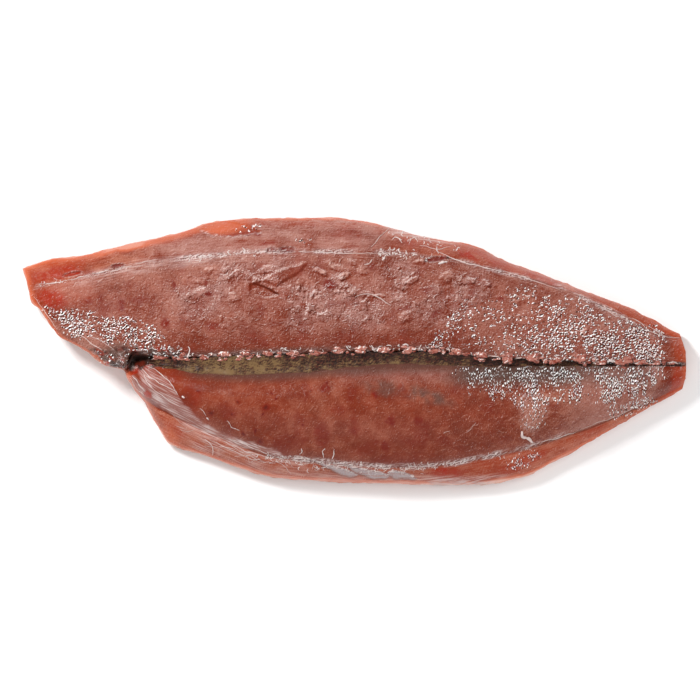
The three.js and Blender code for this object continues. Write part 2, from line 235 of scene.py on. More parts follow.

# Places on the side in mm: torn film, blood left in the flesh, fat and slits, as any side of this fish has
# them, and the zones where glints are painted.
# A spot is a centre, half length and half width, turn in degrees, and strength.
marks = {
    "pit": {"centre": (-135.8, -5.0), "size": (6.4, 5.0), "depth": 3.8},
    "slits": [  # openings along the back seam
        ((-178.0, 48.6), (6.6, 1.3), 9), ((-149.0, 53.6), (4.6, 1.5), 6), ((-52.2, 63.6), (3.6, 1.4), 4),
        ((-42.4, 63.6), (5.6, 1.9), 0), ((52.0, 57.9), (7.6, 1.6), 7),
    ],
    "fatPatch": [(-97.4, 75.9), (-87.9, 72.7), (-78.4, 72.1), (-68.9, 73.4), (-58.2, 75.3), (-65.8, 79.1),
                 (-81.6, 82.2), (-94.2, 80.3)],
    "backCrease": [(24, 78), (16.4, 72.1), (10.8, 65.1)],
    "notch": [(-65.5, 42), (-60.9, 41.9), (-54, 39.2), (-47.6, 35.6), (-55.7, 33.0), (-65.1, 36.5)],
    "notchLip": [(-61.5, 42.3), (-57, 40.6), (-53, 38.8), (-47.4, 35.6)],
    "tongue": [(-57.6, 44.3), (-49.3, 50.0), (-40.5, 53.1), (-30.4, 55.7), (-32.9, 50.6), (-42.4, 44.9),
               (-49.3, 41.1)],
    "silver": [
        [(-26, -68.6), (-14.1, -72), (-7.1, -74), (-1.5, -75.6), (3, -77.6), (-2.2, -79.7), (-7.1, -78.3),
         (-13.4, -75.4), (-19, -72.8)],
        [(-5.6, -71.6), (5.6, -74), (14.7, -75.2), (23, -78.1), (20.6, -80.1), (13.3, -80.7), (5.6, -78.5),
         (-0.1, -75.6)],
        [(21, -76.3), (25.2, -74.8), (30.9, -76.2), (35.8, -77.8), (39.9, -80.9), (37.2, -81), (26.6, -80.6),
         (22.4, -78.3)],
    ],
    "rawBits": [((-139.0, -12.4), (5.2, 2.6), 15, 1.5), ((-129.8, -27.8), (4.2, 3.0), -40, 1.5)],
    "fanBand": [(-129, -21.5), (-125.9, -25.9), (-112, -37.3), (-97.4, -46.8), (-72, -56.3), (-46.8, -62.6)],
    "debris": [(-168, 1), (-150, 1.5), (-140, 2.6), (-122, 2.6), (-106, 1), (-106, -5.5), (-126, -10), (-140, -12.5),
               (-150, -11), (-160, -7)],
    "fan": [(-136, -11), (-129, -10), (-122, -14), (-115, -20), (-110, -28), (-106, -36), (-95, -46), (-79, -54),
            (-47, -62.5), (-45, -66), (-72, -60.5), (-94, -54), (-110, -43.6), (-126, -32), (-131, -26)],
    "fanFront": [(-142, -15.5), (-139, -14.5), (-130, -24), (-129, -29), (-133, -28)],
    "neck": [(-179.6, 12.4), (-160.7, 10.5), (-143, 4.5), (-143, -0.6), (-152, -6), (-158.1, -7), (-169.5, -0.6)],
    "headGlint": [(-195, 26), (-178, 24), (-160, 25), (-131, 18), (-121, 10), (-127, 2), (-146, 7), (-164, 9),
                  (-184, 15)],
    "bellyGlint": [(64, -12), (196, -10), (195, -14), (183, -21), (168, -27), (150, -30), (133, -31), (118, -34),
                   (106, -36), (98, -30), (84, -26), (70, -22)],
    "glintLine": [(48, 4), (58, 14), (67, 29)],
    "smear": [(101.8, -27), (113, -25), (124, -28), (121, -40), (114, -52), (106, -49)],
    "combGap": [(143, -12), (151, -12), (153, -36), (144, -36)],
    "edgeGlints": [((103, -73), (7, 6), 0, 0.5), ((113, -65), (7, 5), 0, 0.4), ((-30, 70), (6, 3), 0, 0.25)],
    "tailEdgeGlint": [(160, -38), (190, -27), (192, -32), (166, -45)],
    "fatGlint": [((-66, 77.5), (9, 2.6), 8, 0.55)],
    "fringe": [(17, 76.5), (20, 79.5), (42, 75), (70, 69.5), (62, 67.2), (42, 70.5)],
    "silverRim": [(44.9, -82.4), (68.3, -82.6), (87.3, -83), (79.7, -86), (54.4, -86)],
    "smudges": [((45, -29), (21, 6.5), -15, 0.66), ((20, -23), (19, 7), -10, 0.46)],
    "pitSmudge": [((-145, -1.5), (17, 6.5), -12, 0.7)],
    "seamHoles": [((45.3, 57.0), (1.3, 1.3), 0, 1), ((59, 58.8), (1.4, 1.0), 0, 1)],
    "backGlint": [(55, 4), (72, 26), (96, 40), (128, 34), (150, 26), (172, 17), (194, 13), (197, -7), (150, -5),
                  (100, -3)],
    "blood": [
        ((-191, 32.9), (12, 7.6), -12, 1.0), ((-167, 30.4), (3.8, 2.5), 0, 0.6), ((-158.8, 33.5), (2.5, 3.8), 0, 0.6),
        ((-146.1, 28.5), (3.2, 4.4), 0, 1.1), ((-113.2, 41.7), (1.9, 4.4), 15, 1.5), ((-93.6, 43), (1.3, 2.5), 0, 0.9),
        ((-117.6, 17.1), (3.8, 4.4), 0, 1.0), ((-88.5, 15.2), (5.7, 4.4), 0, 0.8), ((-91.1, 35.4), (3.2, 1.9), 0, 1.1),
        ((-58.2, 24.7), (3.8, 4.4), 0, 0.5), ((-50, 16.4), (5.1, 2.5), 0, 0.3), ((-135.4, 32.3), (7.6, 3.2), 0, 0.6),
        ((-15.2, 41.7), (5.7, 3.2), -20, 1.2), ((11.4, 52.5), (3.8, 3.8), 0, 0.6),
        ((31.6, 25.9), (5.7, 1.6), 10, 1.4), ((51.2, 22.8), (4.2, 2.2), 30, 0.8), ((73.4, 41.7), (1.9, 3.2), 0, 0.5),
        ((84.1, 43), (3.2, 3.8), 0, 0.5), ((92.3, 32.3), (3.2, 1.9), 0, 1.0),
        ((33, 68.6), (10, 2.6), -14, 0.5), ((63.9, 29.1), (3.2, 2.5), 0, 0.3), ((46, 38.5), (6, 2.5), 25, 0.6),
        ((-189, 49), (20, 4.6), 12, 0.9), ((86, 59), (16, 3.6), -28, 0.5), ((120, 45), (22, 3), -22, 0.55),
        ((-55, 67.5), (9, 1.4), 3, 0.8), ((0, 66), (6, 1.2), 0, 0.9), ((-4, 73), (16, 5), -4, 0.4),
        ((-65, 75.6), (8, 2.4), -12, 1.8), ((-197, 31), (8, 6), -20, 0.7), ((72, 60), (10, 2.4), -24, 1.1),
    ],
    "bellyBlood": [
        ((-102.5, -29.7), (12, 9), 40, 0.5), ((-18.3, -22.8), (3.8, 5.1), 0, 0.9), ((-20.2, -53.1), (5.7, 10), 0, 0.8),
        ((0.6, -50), (3.8, 3.8), 0, 0.7), ((22.8, -43.6), (3.8, 3.8), 0, 1.3), ((19.6, -59.5), (4.2, 4), 0, 0.9),
        ((40.5, -43.6), (2.5, 3.8), 0, 0.9), ((-8.9, -37.3), (6.3, 3.8), 0, 0.5), ((-34.2, -43.6), (4.4, 3.2), 0, 0.4),
        ((7, -62.6), (8, 4.4), 0, 0.4), ((35.4, -56.3), (5.7, 3.8), 0, 0.4), ((57.6, -56.3), (8, 3.8), 0, 0.4),
        ((58.8, -76.5), (13, 3.8), 0, 1.0),
        ((-31, -56.3), (3.2, 3.8), 0, 0.6), ((92.3, -56.3), (9, 3.2), 10, 0.4),
        ((13.3, -27.8), (3.2, 1.9), 0, 1.2), ((-113.2, -15.2), (5.7, 3.8), 0, 0.4),
        ((-136.5, -12.6), (4.0, 1.8), 15, 1.2), ((-129.7, -28), (2.6, 1.8), -40, 1.2), ((112, -68), (16, 5), 25, 0.6),
        ((100, -74), (12, 4), 10, 0.5), ((-112, -50), (9, 5), -35, 0.45), ((150, -51), (14, 3), 28, 0.5),
        ((203, -20), (5, 10), -20, 0.7),
    ],
    "dots": [  # small clots: centre and radius
        ((-98.7, -25.3), 1.1), ((-72.7, -32.3), 1.1), ((-90.4, -38.6), 1.1), ((-55.7, -35.4), 1.6),
        ((-56.9, -39.8), 0.8), ((-69.6, -51.9), 1.3), ((-58.8, -56.9), 1.4), ((-48.7, -29.1), 0.8),
        ((-51.9, -25.9), 0.8), ((-61.4, -50), 0.8), ((-27.8, -25.3), 0.8), ((-16.4, -20.2), 0.9),
        ((-32.9, -46.8), 0.8), ((-5.7, -20.9), 0.6), ((-37.9, -54.4), 0.7), ((-76.5, -39.8), 0.8),
    ],
    "flakes": [  # torn flakes of film that stand up and catch the light
        ((-91.1, 50), (4.4, 1.9), 20, 1.0), ((-77.8, 46.8), (4.4, 3.2), -10, 1.3), ((-55, 51.2), (4.4, 2.5), 35, 1.3),
        ((-60.7, 44), (3.2, 1.9), 0, 1.2), ((-10.8, 52.5), (8.2, 2.5), -25, 1.1), ((-1.3, 56.3), (5.1, 1.9), -35, 0.8),
        ((5.7, 50), (3.8, 2.5), -40, 0.7), ((-34.2, 41.7), (2.5, 3.8), 0, 0.8), ((-75.3, 34.2), (3.8, 3.2), -40, 1.2),
        ((-1.3, 36.7), (1.9, 3.8), 0, 0.5), ((36.7, 44.9), (5.1, 1.9), 30, 1.2), ((58.8, 46.8), (5.7, 3.8), 20, 0.9),
        ((74.6, 43.6), (2.5, 1.3), -30, 1.4), ((83.5, 42.4), (2.5, 1.9), -60, 1.2), ((32.3, 20.9), (5.1, 3.2), 40, 1.0),
        ((128.4, 24.7), (2.5, 3.8), 80, 1.0), ((144.8, 10.1), (1.9, 5.7), -20, 0.8), ((117.6, 19.6), (5.1, 1.9), 20, 0.3),
        ((102.5, 32.3), (3.2, 5.7), 80, 0.7), ((111.3, 34.2), (3.8, 1.9), 10, 0.4), ((155.6, 13.3), (3.8, 1.9), 30, 0.2),
        ((-81.6, 55.7), (4.4, 1.9), 10, 0.3), ((-27.8, 25.9), (1.9, 2.5), 20, 1.1), ((-83.5, 20.9), (1.3, 2.5), 10, 0.7),
        ((-81.6, 15.2), (3.2, 1.9), 0, 0.5), ((-20, 49), (6, 2), -20, 1.3), ((-8, 41), (7, 2), 15, 0.7),
        ((14, 35), (8, 1.6), -12, 0.8), ((-98, 44), (5, 2.5), 10, 0.7), ((-24, 36), (3, 2), 30, 0.9),
        ((-5.7, 46.8), (3.2, 2.2), 0, 1.4), ((41.7, 56.3), (5.1, 1.3), 0, 1.0),
    ],
}


def regions(x, y):
    # Signed gaps in mm to the long lines, which the relief and the tissues are both worked out from.
    gap = {name: y - lineAt[name](x) for name in
           ("backSeam", "bellySeam", "upperLip", "bellyLip", "grooveFloor")}
    gap["backEdge"] = lineAt["backEdge"](x) - y
    gap["bellyEdge"] = y - lineAt["bellyEdge"](x)
    gap["head"] = np.maximum(x - headCut(y), 0)
    gap["tail"] = np.maximum(tailCut(y) - x, 0)
    gap["outline"] = np.minimum.reduce([gap["backEdge"], gap["bellyEdge"], gap["head"] * 0.75, gap["tail"]])
    return gap


def tornArea(x, y):
    # How much the film on the back lobe is torn into flakes and curls.
    area = insideOf(x, y, [(-112, 38), (-92, 54), (-50, 58), (20, 58), (80, 48), (92, 32), (60, 18), (-20, 12),
                           (-70, 16), (-105, 22)], 18)
    return area * (0.2 + 0.8 * smoothStep(-0.35, 0.45, cloud(x, y, 20, 3, 4)))


def tornClump(x, y):
    # The loosest film hangs together in clumps, 0 to 1, thickest round the listed flakes.
    near = spots(x, y, [(centre, (long * 1.9, wide * 2.3), turn, 1)
                        for centre, (long, wide), turn, _ in marks["flakes"]])
    return np.clip(0.75 * near + 0.5 * smoothStep(0.1, 0.6, cloud(x, y, 9, 3, 88)), 0, 1)


def tornRelief(x, y):
    # Height in mm of the torn film: crumpled facets with layers of two sizes in clumps, flakes with curled edges,
    # the tongue and the notch.
    wx, wy = ragged(x, y)
    rise, lip = tornLayers(x, y, 15, 1)
    fineRise, fineLip = tornLayers(x, y, 5, 2)
    z = 0.6 * rise + 0.75 * facets(*ragged(x, y, 2.4, 6), 8, 3)[0]
    z = tornArea(x, y) * (z + tornClump(x, y) * (0.5 * rise + 0.5 * lip + 0.55 * fineRise + 0.35 * fineLip))
    z = z + spots(wx, wy, marks["flakes"]) * (0.8 + 0.6 * curls(x, y, 3.5, 3))
    slope = smoothStep(9, 0, nearRoute(x, y, marks["notchLip"]))  # the notch is a wedge, deepest under its lip
    return z - 2.2 * insideOf(x, y, marks["notch"], 1.2) * slope + 1.2 * insideOf(x, y, marks["tongue"], 2.4)


def glintArea(x, y):
    # How thickly glints are painted on the wet grain, 0 to 1, by zones.
    wx, wy = ragged(x, y, 3.0, 8)
    head = insideOf(wx, wy + 1.0, marks["headGlint"], 5) * (0.6 + 0.25 * smoothStep(-130, -180, x))
    tail = insideOf(wx, wy, marks["backGlint"], 12) * (0.13 + 0.77 * smoothStep(70, 175, x - 0.9 * y))
    tail = np.maximum(tail, 0.4 * smoothStep(4.5, 0.5, nearRoute(wx, wy, marks["glintLine"])))
    # On the belly lobe they hang from the groove in combed streaks of uneven length.
    comb = cloud(x, 0.14 * y, 2.6, 3, 17)
    belly = insideOf(wx, wy + 6 * comb, marks["bellyGlint"], 7)
    belly = belly * (0.7 + 0.3 * smoothStep(140, 185, x) + 0.3 * comb) * (0.35 + 0.65 * smoothStep(70, 96, x))
    belly = belly * (1 - 0.92 * insideOf(x, y, marks["combGap"], 3))
    belly = np.maximum(belly, 0.1 * insideOf(wx, wy, marks["smear"], 5))
    outsidePit = 1 - smoothStep(1.3, 1.0, pitReach(x, y))
    belly = np.maximum(belly, 0.22 * insideOf(wx, wy, marks["debris"], 3) * outsidePit)
    edge = sum(strength * spot(wx, wy, *place) for *place, strength in marks["edgeGlints"])
    edge = edge + 0.45 * insideOf(x, y, marks["tailEdgeGlint"], 3) + spots(x, y, marks["fatGlint"])
    patchy = np.clip(0.85 + 0.9 * cloud(x, y, 7, 3, 6), 0.1, 1.15)
    clear = smoothStep(3, 14, 205 - x) * (1 - smoothStep(196, 200, x) * 0.9)
    return np.clip((head + tail + belly + edge) * patchy * clear, 0, 1)


def silverSheets(x, y, soft=0.9):
    # 1 on the silvery sheets of fascia left on the belly strip.
    wx, wy = ragged(x, y, 0.6, 5.0)
    return np.maximum.reduce([insideOf(wx, wy, outline, soft) for outline in marks["silver"]])


def slitShape(x, y, grow=0.0):
    # 1 inside the openings along the back seam.
    total = np.zeros(x.shape)
    for (cx, cy), (long, wide), turn in marks["slits"]:
        c, s = np.cos(np.radians(turn)), np.sin(np.radians(turn))
        along, across = (x - cx) * c + (y - cy) * s, (y - cy) * c - (x - cx) * s
        reach = np.hypot(along / (long + grow), across / (wide + grow))
        total = np.maximum(total, 1 - smoothStep(0.7, 1.1, reach))
    return total


def pitReach(x, y):
    # Distance from the middle of the pit as a share of its ragged half size, with a torn tail towards the belly.
    pit = marks["pit"]
    reach = np.hypot((x - pit["centre"][0]) / pit["size"][0], (y - pit["centre"][1]) / pit["size"][1])
    tail = np.hypot((x + 134.6) / 2.0, (y + 10.0) / 2.4)
    return np.minimum(reach, tail + 0.2) + 0.24 * cloud(x, y, 3.4, 3, 14)


def baseHeight(x, y):
    # The height of the flesh before its relief: a strip climbs from the outline by a power curve, a lobe is a
    # parabola on a slope, and the groove is a v between its lips. All sink a little towards the two cuts.
    crest = side["thickness"] * crestShare(x)
    depth = side["grooveDepth"] * smoothStep(-230, -60, -x)
    height = np.full(x.shape, side["rimHeight"])
    for band in bands:
        low, high = lineAt[band["from"]](x), lineAt[band["to"]](x)
        w = np.clip((y - low) / (high - low), 0, 1)
        if band["shape"] == "strip":
            inward = w if band["from"] == "bellyEdge" else 1 - w
            here = side["rimHeight"] + (band["high"] * crest - side["rimHeight"]) * inward ** side["stripCurve"]
        else:
            here = (band["low"] + (band["high"] - band["low"]) * w + band["swell"] * 4 * w * (1 - w)) * crest
        if band["shape"] == "groove":
            floor = side["grooveFloor"]
            here = here - depth * np.where(w < floor, w / floor, (1 - w) / (1 - floor))
        height = np.where(y >= low, here, height)
    gap = np.minimum(x - headCut(y), tailCut(y) - x)
    return height * (1 - side["cutDrop"] * np.exp(-np.maximum(gap, 0) / side["cutReach"]))


def fleshHeight(x, y):
    # The finished height: the base, soft lumps, the creases and slits at the seams, flakes and curls of torn
    # film, the fine wet grain, and the pit.
    gap = regions(x, y)
    inside = smoothStep(0, 6, gap["outline"])
    back = smoothStep(0, 6, gap["upperLip"])
    seam = np.minimum(np.abs(gap["backSeam"]), np.abs(gap["bellySeam"]))
    z = baseHeight(x, y)
    z = z - side["seamDepth"] * np.exp(-((seam / side["seamWidth"]) ** 2)) - 0.5 * np.exp(-((seam / 0.8) ** 2))
    z = z + inside * (0.7 * waver(x, y, 27, 2) + (0.16 + 0.2 * back) * waver(x, y, 9, 3))
    z = z + inside * (0.04 + 0.12 * back) * cloud(x, y, 3.4, 2, 8)
    z = z + tornRelief(x, y) - 1.7 * slitShape(x, y) * inside
    z = z - 1.5 * insideOf(x, y, marks["fatPatch"], 1.4)
    lipHere = np.exp(-(((gap["upperLip"] + 0.6) / 1.9) ** 2)) * smoothStep(-130, -120, x)
    z = z + 0.9 * lipHere * cloud(x, y, 3.2, 3, 19)
    z = z - 1.0 * np.exp(-((nearRoute(x, y, marks["backCrease"]) / 0.9) ** 2))
    z = z + 0.25 * silverSheets(x, y) + 0.2 * glintArea(x, y) * waver(x, y, 1.5, 12)
    z = z + 0.7 * insideOf(x, y, marks["debris"], 3) * cloud(x, y, 2.6, 2, 37)
    reach = pitReach(x, y)
    return z - marks["pit"]["depth"] * np.sqrt(np.clip(1 - reach, 0, 1)) * smoothStep(1.02, 0.9, reach)


def tissues(x, y):
    # How much of each tissue shows at a point, 0 to 1, and where light, shade and glints are painted.
    gap = regions(x, y)
    wx, wy = ragged(x, y)
    back = gap["grooveFloor"] > 0
    backStrip, bellyStrip = gap["backSeam"] > 0, gap["bellySeam"] < 0
    lobe = ~backStrip & ~bellyStrip
    torn = tornArea(x, y)
    broad, medium = cloud(x, y, 30, 3, 20), cloud(x, y, 9, 3, 21)

    # The film: a pale skin of connective tissue, thicker on the back lobe, torn into flakes in its middle. It is
    # cool and lilac on the back, warm and thin on the belly.
    film = 0.06 * broad + np.where(back, 0.19 + 0.09 * medium, 0.07 + 0.06 * medium + 0.06 * cloud(x, y, 4, 2, 22))
    rise, lip = tornLayers(x, y, 15, 1)
    tone = facets(*ragged(x, y, 2.4, 6), 8, 3)[1]
    film += torn * (0.1 * rise + 0.28 * lip * tornClump(x, y) + 0.11 + 0.1 * tone)
    film = np.maximum(film, spots(wx, wy, marks["flakes"]) * (0.34 + 0.34 * curls(x, y, 3.5, 3)))
    # Painted light and shade: a side of the torn relief that falls towards the light is painted lit, the far side
    # shaded.
    lit = tornRelief(x + 0.3, y - 0.5) - tornRelief(x - 0.3, y + 0.5)
    film += np.where(backStrip, 0.2 * smoothStep(-165, -110, x) * smoothStep(48, 10, x) - 0.06, 0)
    film += 0.2 * backStrip * cloud(0.4 * x, y, 5, 4, 24)
    # Less pale film just above the upper lip darkens the back lobe towards the groove: painted shade.
    film -= 0.18 * smoothStep(16, 4, gap["upperLip"]) * back * smoothStep(-130, -100, x) * smoothStep(90, 50, x)
    film -= 0.3 * insideOf(x, y, marks["fatPatch"], 1.0) + 0.42 * spot(wx, wy, (-195, 30), (15, 9), -30)
    bareRim = smoothStep(7, 2.5, gap["backEdge"]) * smoothStep(-50, -70, x)
    film -= (0.04 + 0.22 * smoothStep(-130, -116, x)) * bareRim
    veil = smoothStep(-10.5, -12.5, y) * smoothStep(-26, -14, y) * smoothStep(-20, 0, x) * ~back
    film += (0.14 - 0.08 * smoothStep(50, 80, x)) * veil
    film += 0.24 * insideOf(wx, wy, marks["smear"], 9)
    film += 0.05 * smoothStep(60, 150, x) * back * lobe + 0.25 * smoothStep(105, 145, x) * lobe * ~back
    film += 0.14 * smoothStep(12, 2, np.abs(gap["backSeam"] + 3)) * smoothStep(40, -40, x) * ~backStrip
    film -= 0.25 * insideOf(x, y, marks["notch"], 3) + 0.1 * insideOf(x, y, marks["tongue"], 2)
    film += 0.22 * insideOf(wx, wy, marks["neck"], 4)
    film -= 0.2 * smoothStep(9, 3, gap["tail"]) + np.where(back, 0.25, 0.36) * smoothStep(20, 12, gap["tail"])
    film += 0.04 * spot(wx, wy, (45, -29), (20, 8), -15)
    film -= 0.15 * smoothStep(-85, -120, x) * ~back * lobe
    film += np.where(bellyStrip, 0.22 - 0.2 * smoothStep(40, 60, x) * smoothStep(110, 90, x), 0)
    cool = np.where(back & lobe, 0.6, 0.15) + 0.6 * torn
    cool = cool + 0.75 * backStrip * smoothStep(-150, -110, x) * smoothStep(45, 10, x)
    cool = np.maximum.reduce([cool, 0.7 * smoothStep(110, 150, x) * lobe, veil])

    # Fresh orange-red flesh: the head end, the strips along the outline, and the clean end of the tail.
    warm = 0.12 + 0.1 * medium + 0.5 * smoothStep(-150, -195, x) * smoothStep(20, 36, y)
    warm += backStrip * (0.22 * smoothStep(25, 60, x) + 0.1)
    warm += backStrip * 0.35 * smoothStep(8, 2.5, gap["backEdge"])
    warm += bellyStrip * (0.42 + 0.2 * smoothStep(-100, -125, x) + 0.2 * smoothStep(60, 110, x))
    warm += 0.6 * smoothStep(11, 4, gap["tail"]) + 0.12 * (~back) * lobe * smoothStep(-60, -115, x)

    # Blood-dark flesh: the listed patches, and loose ones anywhere on the lobes.
    blood = np.maximum(spots(wx, wy, marks["blood"]), spots(wx, wy, marks["bellyBlood"]))
    blood = np.maximum(blood, np.where(back, 0.45, 0.5) * smoothStep(0.2, 0.9, cloud(wx, wy, 11, 4, 31)) * lobe)
    # Round the pit the flesh is ragged: raw, dusky and pale bits by turns.
    debris = insideOf(wx, wy, marks["debris"], 3)
    raw = np.maximum(spots(wx, wy, marks["rawBits"]), debris * smoothStep(0.05, 0.4, cloud(x, y, 3.2, 3, 35)))
    blood, warm = np.maximum(blood, raw), np.maximum(warm, 0.6 * raw)
    clot = np.zeros(x.shape)
    for centre, radius in marks["dots"]:
        far = np.hypot(wx - centre[0], wy - centre[1])
        blood = np.maximum(blood, smoothStep(radius * 2.2, radius * 0.8, far))
        clot = np.maximum(clot, smoothStep(radius, radius * 0.3, far) * 0.45)
    slit = slitShape(x, y)
    blood = np.maximum(blood, slit)

    # Thin flesh at the outline lets light through: that glow is painted, orange inside and pale at the very
    # edge. The fat patch is orange too, and reddens towards the tail and its lower edge.
    fat = insideOf(x, y, marks["fatPatch"], 1.0)
    fatRed = 0.9 * smoothStep(-84, -64, x + 2 * (75 - y)) + 0.5 * smoothStep(3.0, 0.5, y - 72.6)
    fatRed = fat * np.clip(fatRed, 0, 1)
    blood = np.maximum(blood, 0.8 * fatRed)
    width = 2.6 + 1.4 * smoothStep(-60, -150, x) + 1.6 * smoothStep(195, 207, x)
    edge = smoothStep(width, 0.0, gap["outline"] + 0.6 * medium + 0.3) * (0.42 + 0.44 * smoothStep(40, -20, x))
    edge = np.maximum(edge, smoothStep(3.6, 0.4, gap["bellyEdge"] + 0.6 * medium) * smoothStep(-122, -104, x)
                      * (0.85 + 0.15 * smoothStep(40, 60, x)) * smoothStep(200, 110, x))
    # The fat patch is edge-coloured orange, with a brighter spot in it as a painted sheen.
    edge = np.maximum(edge, 0.54 * fat * (1 - 0.85 * fatRed) + 0.14 * spot(x, y, (-87, 77), (7, 3), 6))
    backRim = smoothStep(5.5, 2, gap["backEdge"] + medium) * smoothStep(-175, -155, x) * smoothStep(-55, -75, x)
    edge = np.maximum(edge, (0.5 + 0.32 * smoothStep(-126, -136, x)) * backRim)
    edge += 0.35 * spot(x, y, (-117, -55), (9, 6), -40)

    # The dusky film beside the groove, and in smudges on the belly lobe.
    dusk = 0.66 * smoothStep(8, 1, -gap["bellyLip"]) * smoothStep(-118, -95, x) * smoothStep(178, 150, x) * ~back
    streaky = np.clip(0.8 + 0.7 * cloud(x, y, 5, 3, 48), 0, 1)
    dusk = np.maximum(dusk, spots(wx, wy, marks["smudges"]) * streaky)
    combed = smoothStep(-27, -15, y) * smoothStep(48, 74, x) * smoothStep(196, 180, x) * ~back
    dusk = np.maximum(dusk, (0.84 - 0.4 * smoothStep(132, 150, x)) * combed)
    dusk = np.maximum(dusk, 0.55 * smoothStep(5, 0.5, gap["upperLip"]) * back * smoothStep(-150, -125, x)
                      * smoothStep(170, -60, x))
    dusk = np.maximum(dusk, spots(wx, wy, marks["pitSmudge"]))
    dusk = np.maximum(dusk, 0.8 * debris * smoothStep(0.3, -0.1, cloud(x, y, 3.2, 3, 35)))
    # Along the groove's floor the dusky colour is painted shade.
    dusk = np.maximum(dusk, smoothStep(2.2, 0.6, np.abs(gap["grooveFloor"])) * smoothStep(-146, -138, x))

    # White fascia: the sheet that fans out at the head of the belly seam, and the threads along both seams.
    fan = np.maximum(insideOf(wx, wy, marks["fan"], 2.4), insideOf(x, y, marks["fanFront"], 2)) * 0.64
    fan *= np.where(gap["bellySeam"] < -1.5, 0.6, 1) * (0.85 + 0.3 * cloud(x, y, 9, 3, 46))
    fan *= 0.6 + 0.5 * smoothStep(8, 2, nearRoute(x, y, marks["fanBand"]))
    fan *= 1 - np.clip(spots(wx, wy, marks["rawBits"]), 0, 1)
    warm = warm + 0.25 * fan
    backThread = smoothStep(2.4, 0.4, np.abs(gap["backSeam"] + 0.8 * waver(x, y, 16, 41)))
    backThread *= np.clip(0.45 + 0.75 * cloud(x, y, 8, 2, 42), 0, 1) * smoothStep(200, 170, x)
    backThread *= 0.55 + 0.45 * smoothStep(-150, -100, x)
    backBand = smoothStep(6.5, 1, np.abs(gap["backSeam"] + 1.5)) * smoothStep(-40, -110, x) * 0.38
    backBand *= smoothStep(-185, -165, x) * np.clip(0.8 + 0.5 * cloud(x, y, 20, 2, 45), 0, 1)
    bellyThread = smoothStep(2.6, 0.3, np.abs(gap["bellySeam"] - 1 + 0.7 * waver(x, y, 12, 43)))
    bellyThread *= np.clip(0.6 + 0.6 * cloud(x, y, 8, 2, 44), 0, 1)
    bellyThread *= smoothStep(-60, -40, x) * smoothStep(150, 110, x)
    fringe = insideOf(wx, wy, marks["fringe"], 2.2)
    slitEdge = np.clip(slitShape(x, y, 0.9) - slitShape(x, y, 0.0), 0, 1)
    fatEdge = smoothStep(1.1, 0.2, nearRoute(wx, wy, marks["fatPatch"][:5]))
    sheets = silverSheets(x, y)
    # The sheets' edges towards the light get a painted highlight, and along and under their far edges lies a painted
    # shadow.
    above, below = silverSheets(x + 0.3, y + 0.9), silverSheets(x - 0.3, y - 0.9)
    sheetHighlight = np.clip(sheets - above, 0, 1)
    sheetShadow = np.clip(above - sheets, 0, 1) + 0.4 * np.clip(sheets - below, 0, 1)
    silver = np.maximum(0.95 * sheets, 0.42 * insideOf(wx, wy, marks["silverRim"], 1.0))
    # Long pale fibres on the front of the belly strip.
    bellyLines = 0.36 * np.clip(0.5 + 0.9 * cloud(0.3 * x, gap["bellySeam"], 3.5, 3, 49), 0, 1) * bellyStrip
    bellyLines *= smoothStep(-116, -98, x) * smoothStep(-20, -50, x) * smoothStep(1.5, 4, gap["bellyEdge"])
    bellyRim = (0.2 + 0.3 * smoothStep(35, 60, x)) * smoothStep(7, 4, gap["bellyEdge"])
    bellyRim *= smoothStep(-70, -40, x) * smoothStep(105, 80, x)
    # Shreds hang along the upper lip: pale, pink and raw by turns.
    shred = np.exp(-(((gap["upperLip"] + 1.2) / 2.0) ** 2)) * smoothStep(-130, -120, x)
    blood = np.maximum(blood, 0.8 * shred * smoothStep(0.0, 0.5, cloud(x, y, 3.5, 2, 33)))

    reach = pitReach(x, y)
    # Painted shade fills the pit, on top of its real depth; clot adds the dark cores of the clots.
    dark = 0.62 * smoothStep(1.08, 0.96, reach) + clot
    dark = np.maximum(dark, 0.7 * debris * smoothStep(0.2, 0.6, cloud(x, y, 2.2, 2, 38)))
    # A dark line of painted shade along the groove's floor, fainter towards the tail.
    line = smoothStep(1.6, 0.3, np.abs(gap["grooveFloor"] + 0.4 * waver(x, y, 9, 71))) * smoothStep(-140, -130, x)
    dark = np.maximum(dark, line * (0.6 - 0.35 * smoothStep(60, 130, x)))
    # A thin line of painted shade in the crease beside the belly seam, towards the tail.
    beside = np.abs(gap["bellySeam"] + 0.7 + 0.4 * waver(x, y, 10, 73))
    dark = np.maximum(dark, 0.5 * smoothStep(0.9, 0.2, beside) * smoothStep(95, 120, x) * smoothStep(200, 185, x))
    # A painted shadow along the notch's lip.
    nx, ny = ragged(x, y, 0.6, 2.5)
    notchShadow = smoothStep(0.8, 0.1, nearRoute(nx, ny, marks["notchLip"])) * smoothStep(-62, -55, x)
    dark = np.maximum(dark, 0.6 * notchShadow)
    dark = np.maximum(dark, 0.4 * sheetShadow)
    bandLow = gap["bellySeam"] - 2.2 + 0.9 * waver(x, y, 6, 76)
    fibres = smoothStep(-3.8, -2.6, bandLow) * smoothStep(0.8, -0.8, bandLow) * smoothStep(-56, -40, x)
    fibres *= smoothStep(118, 96, x) * np.clip(0.6 + 0.8 * cloud(x, y, 7, 2, 77), 0, 1)
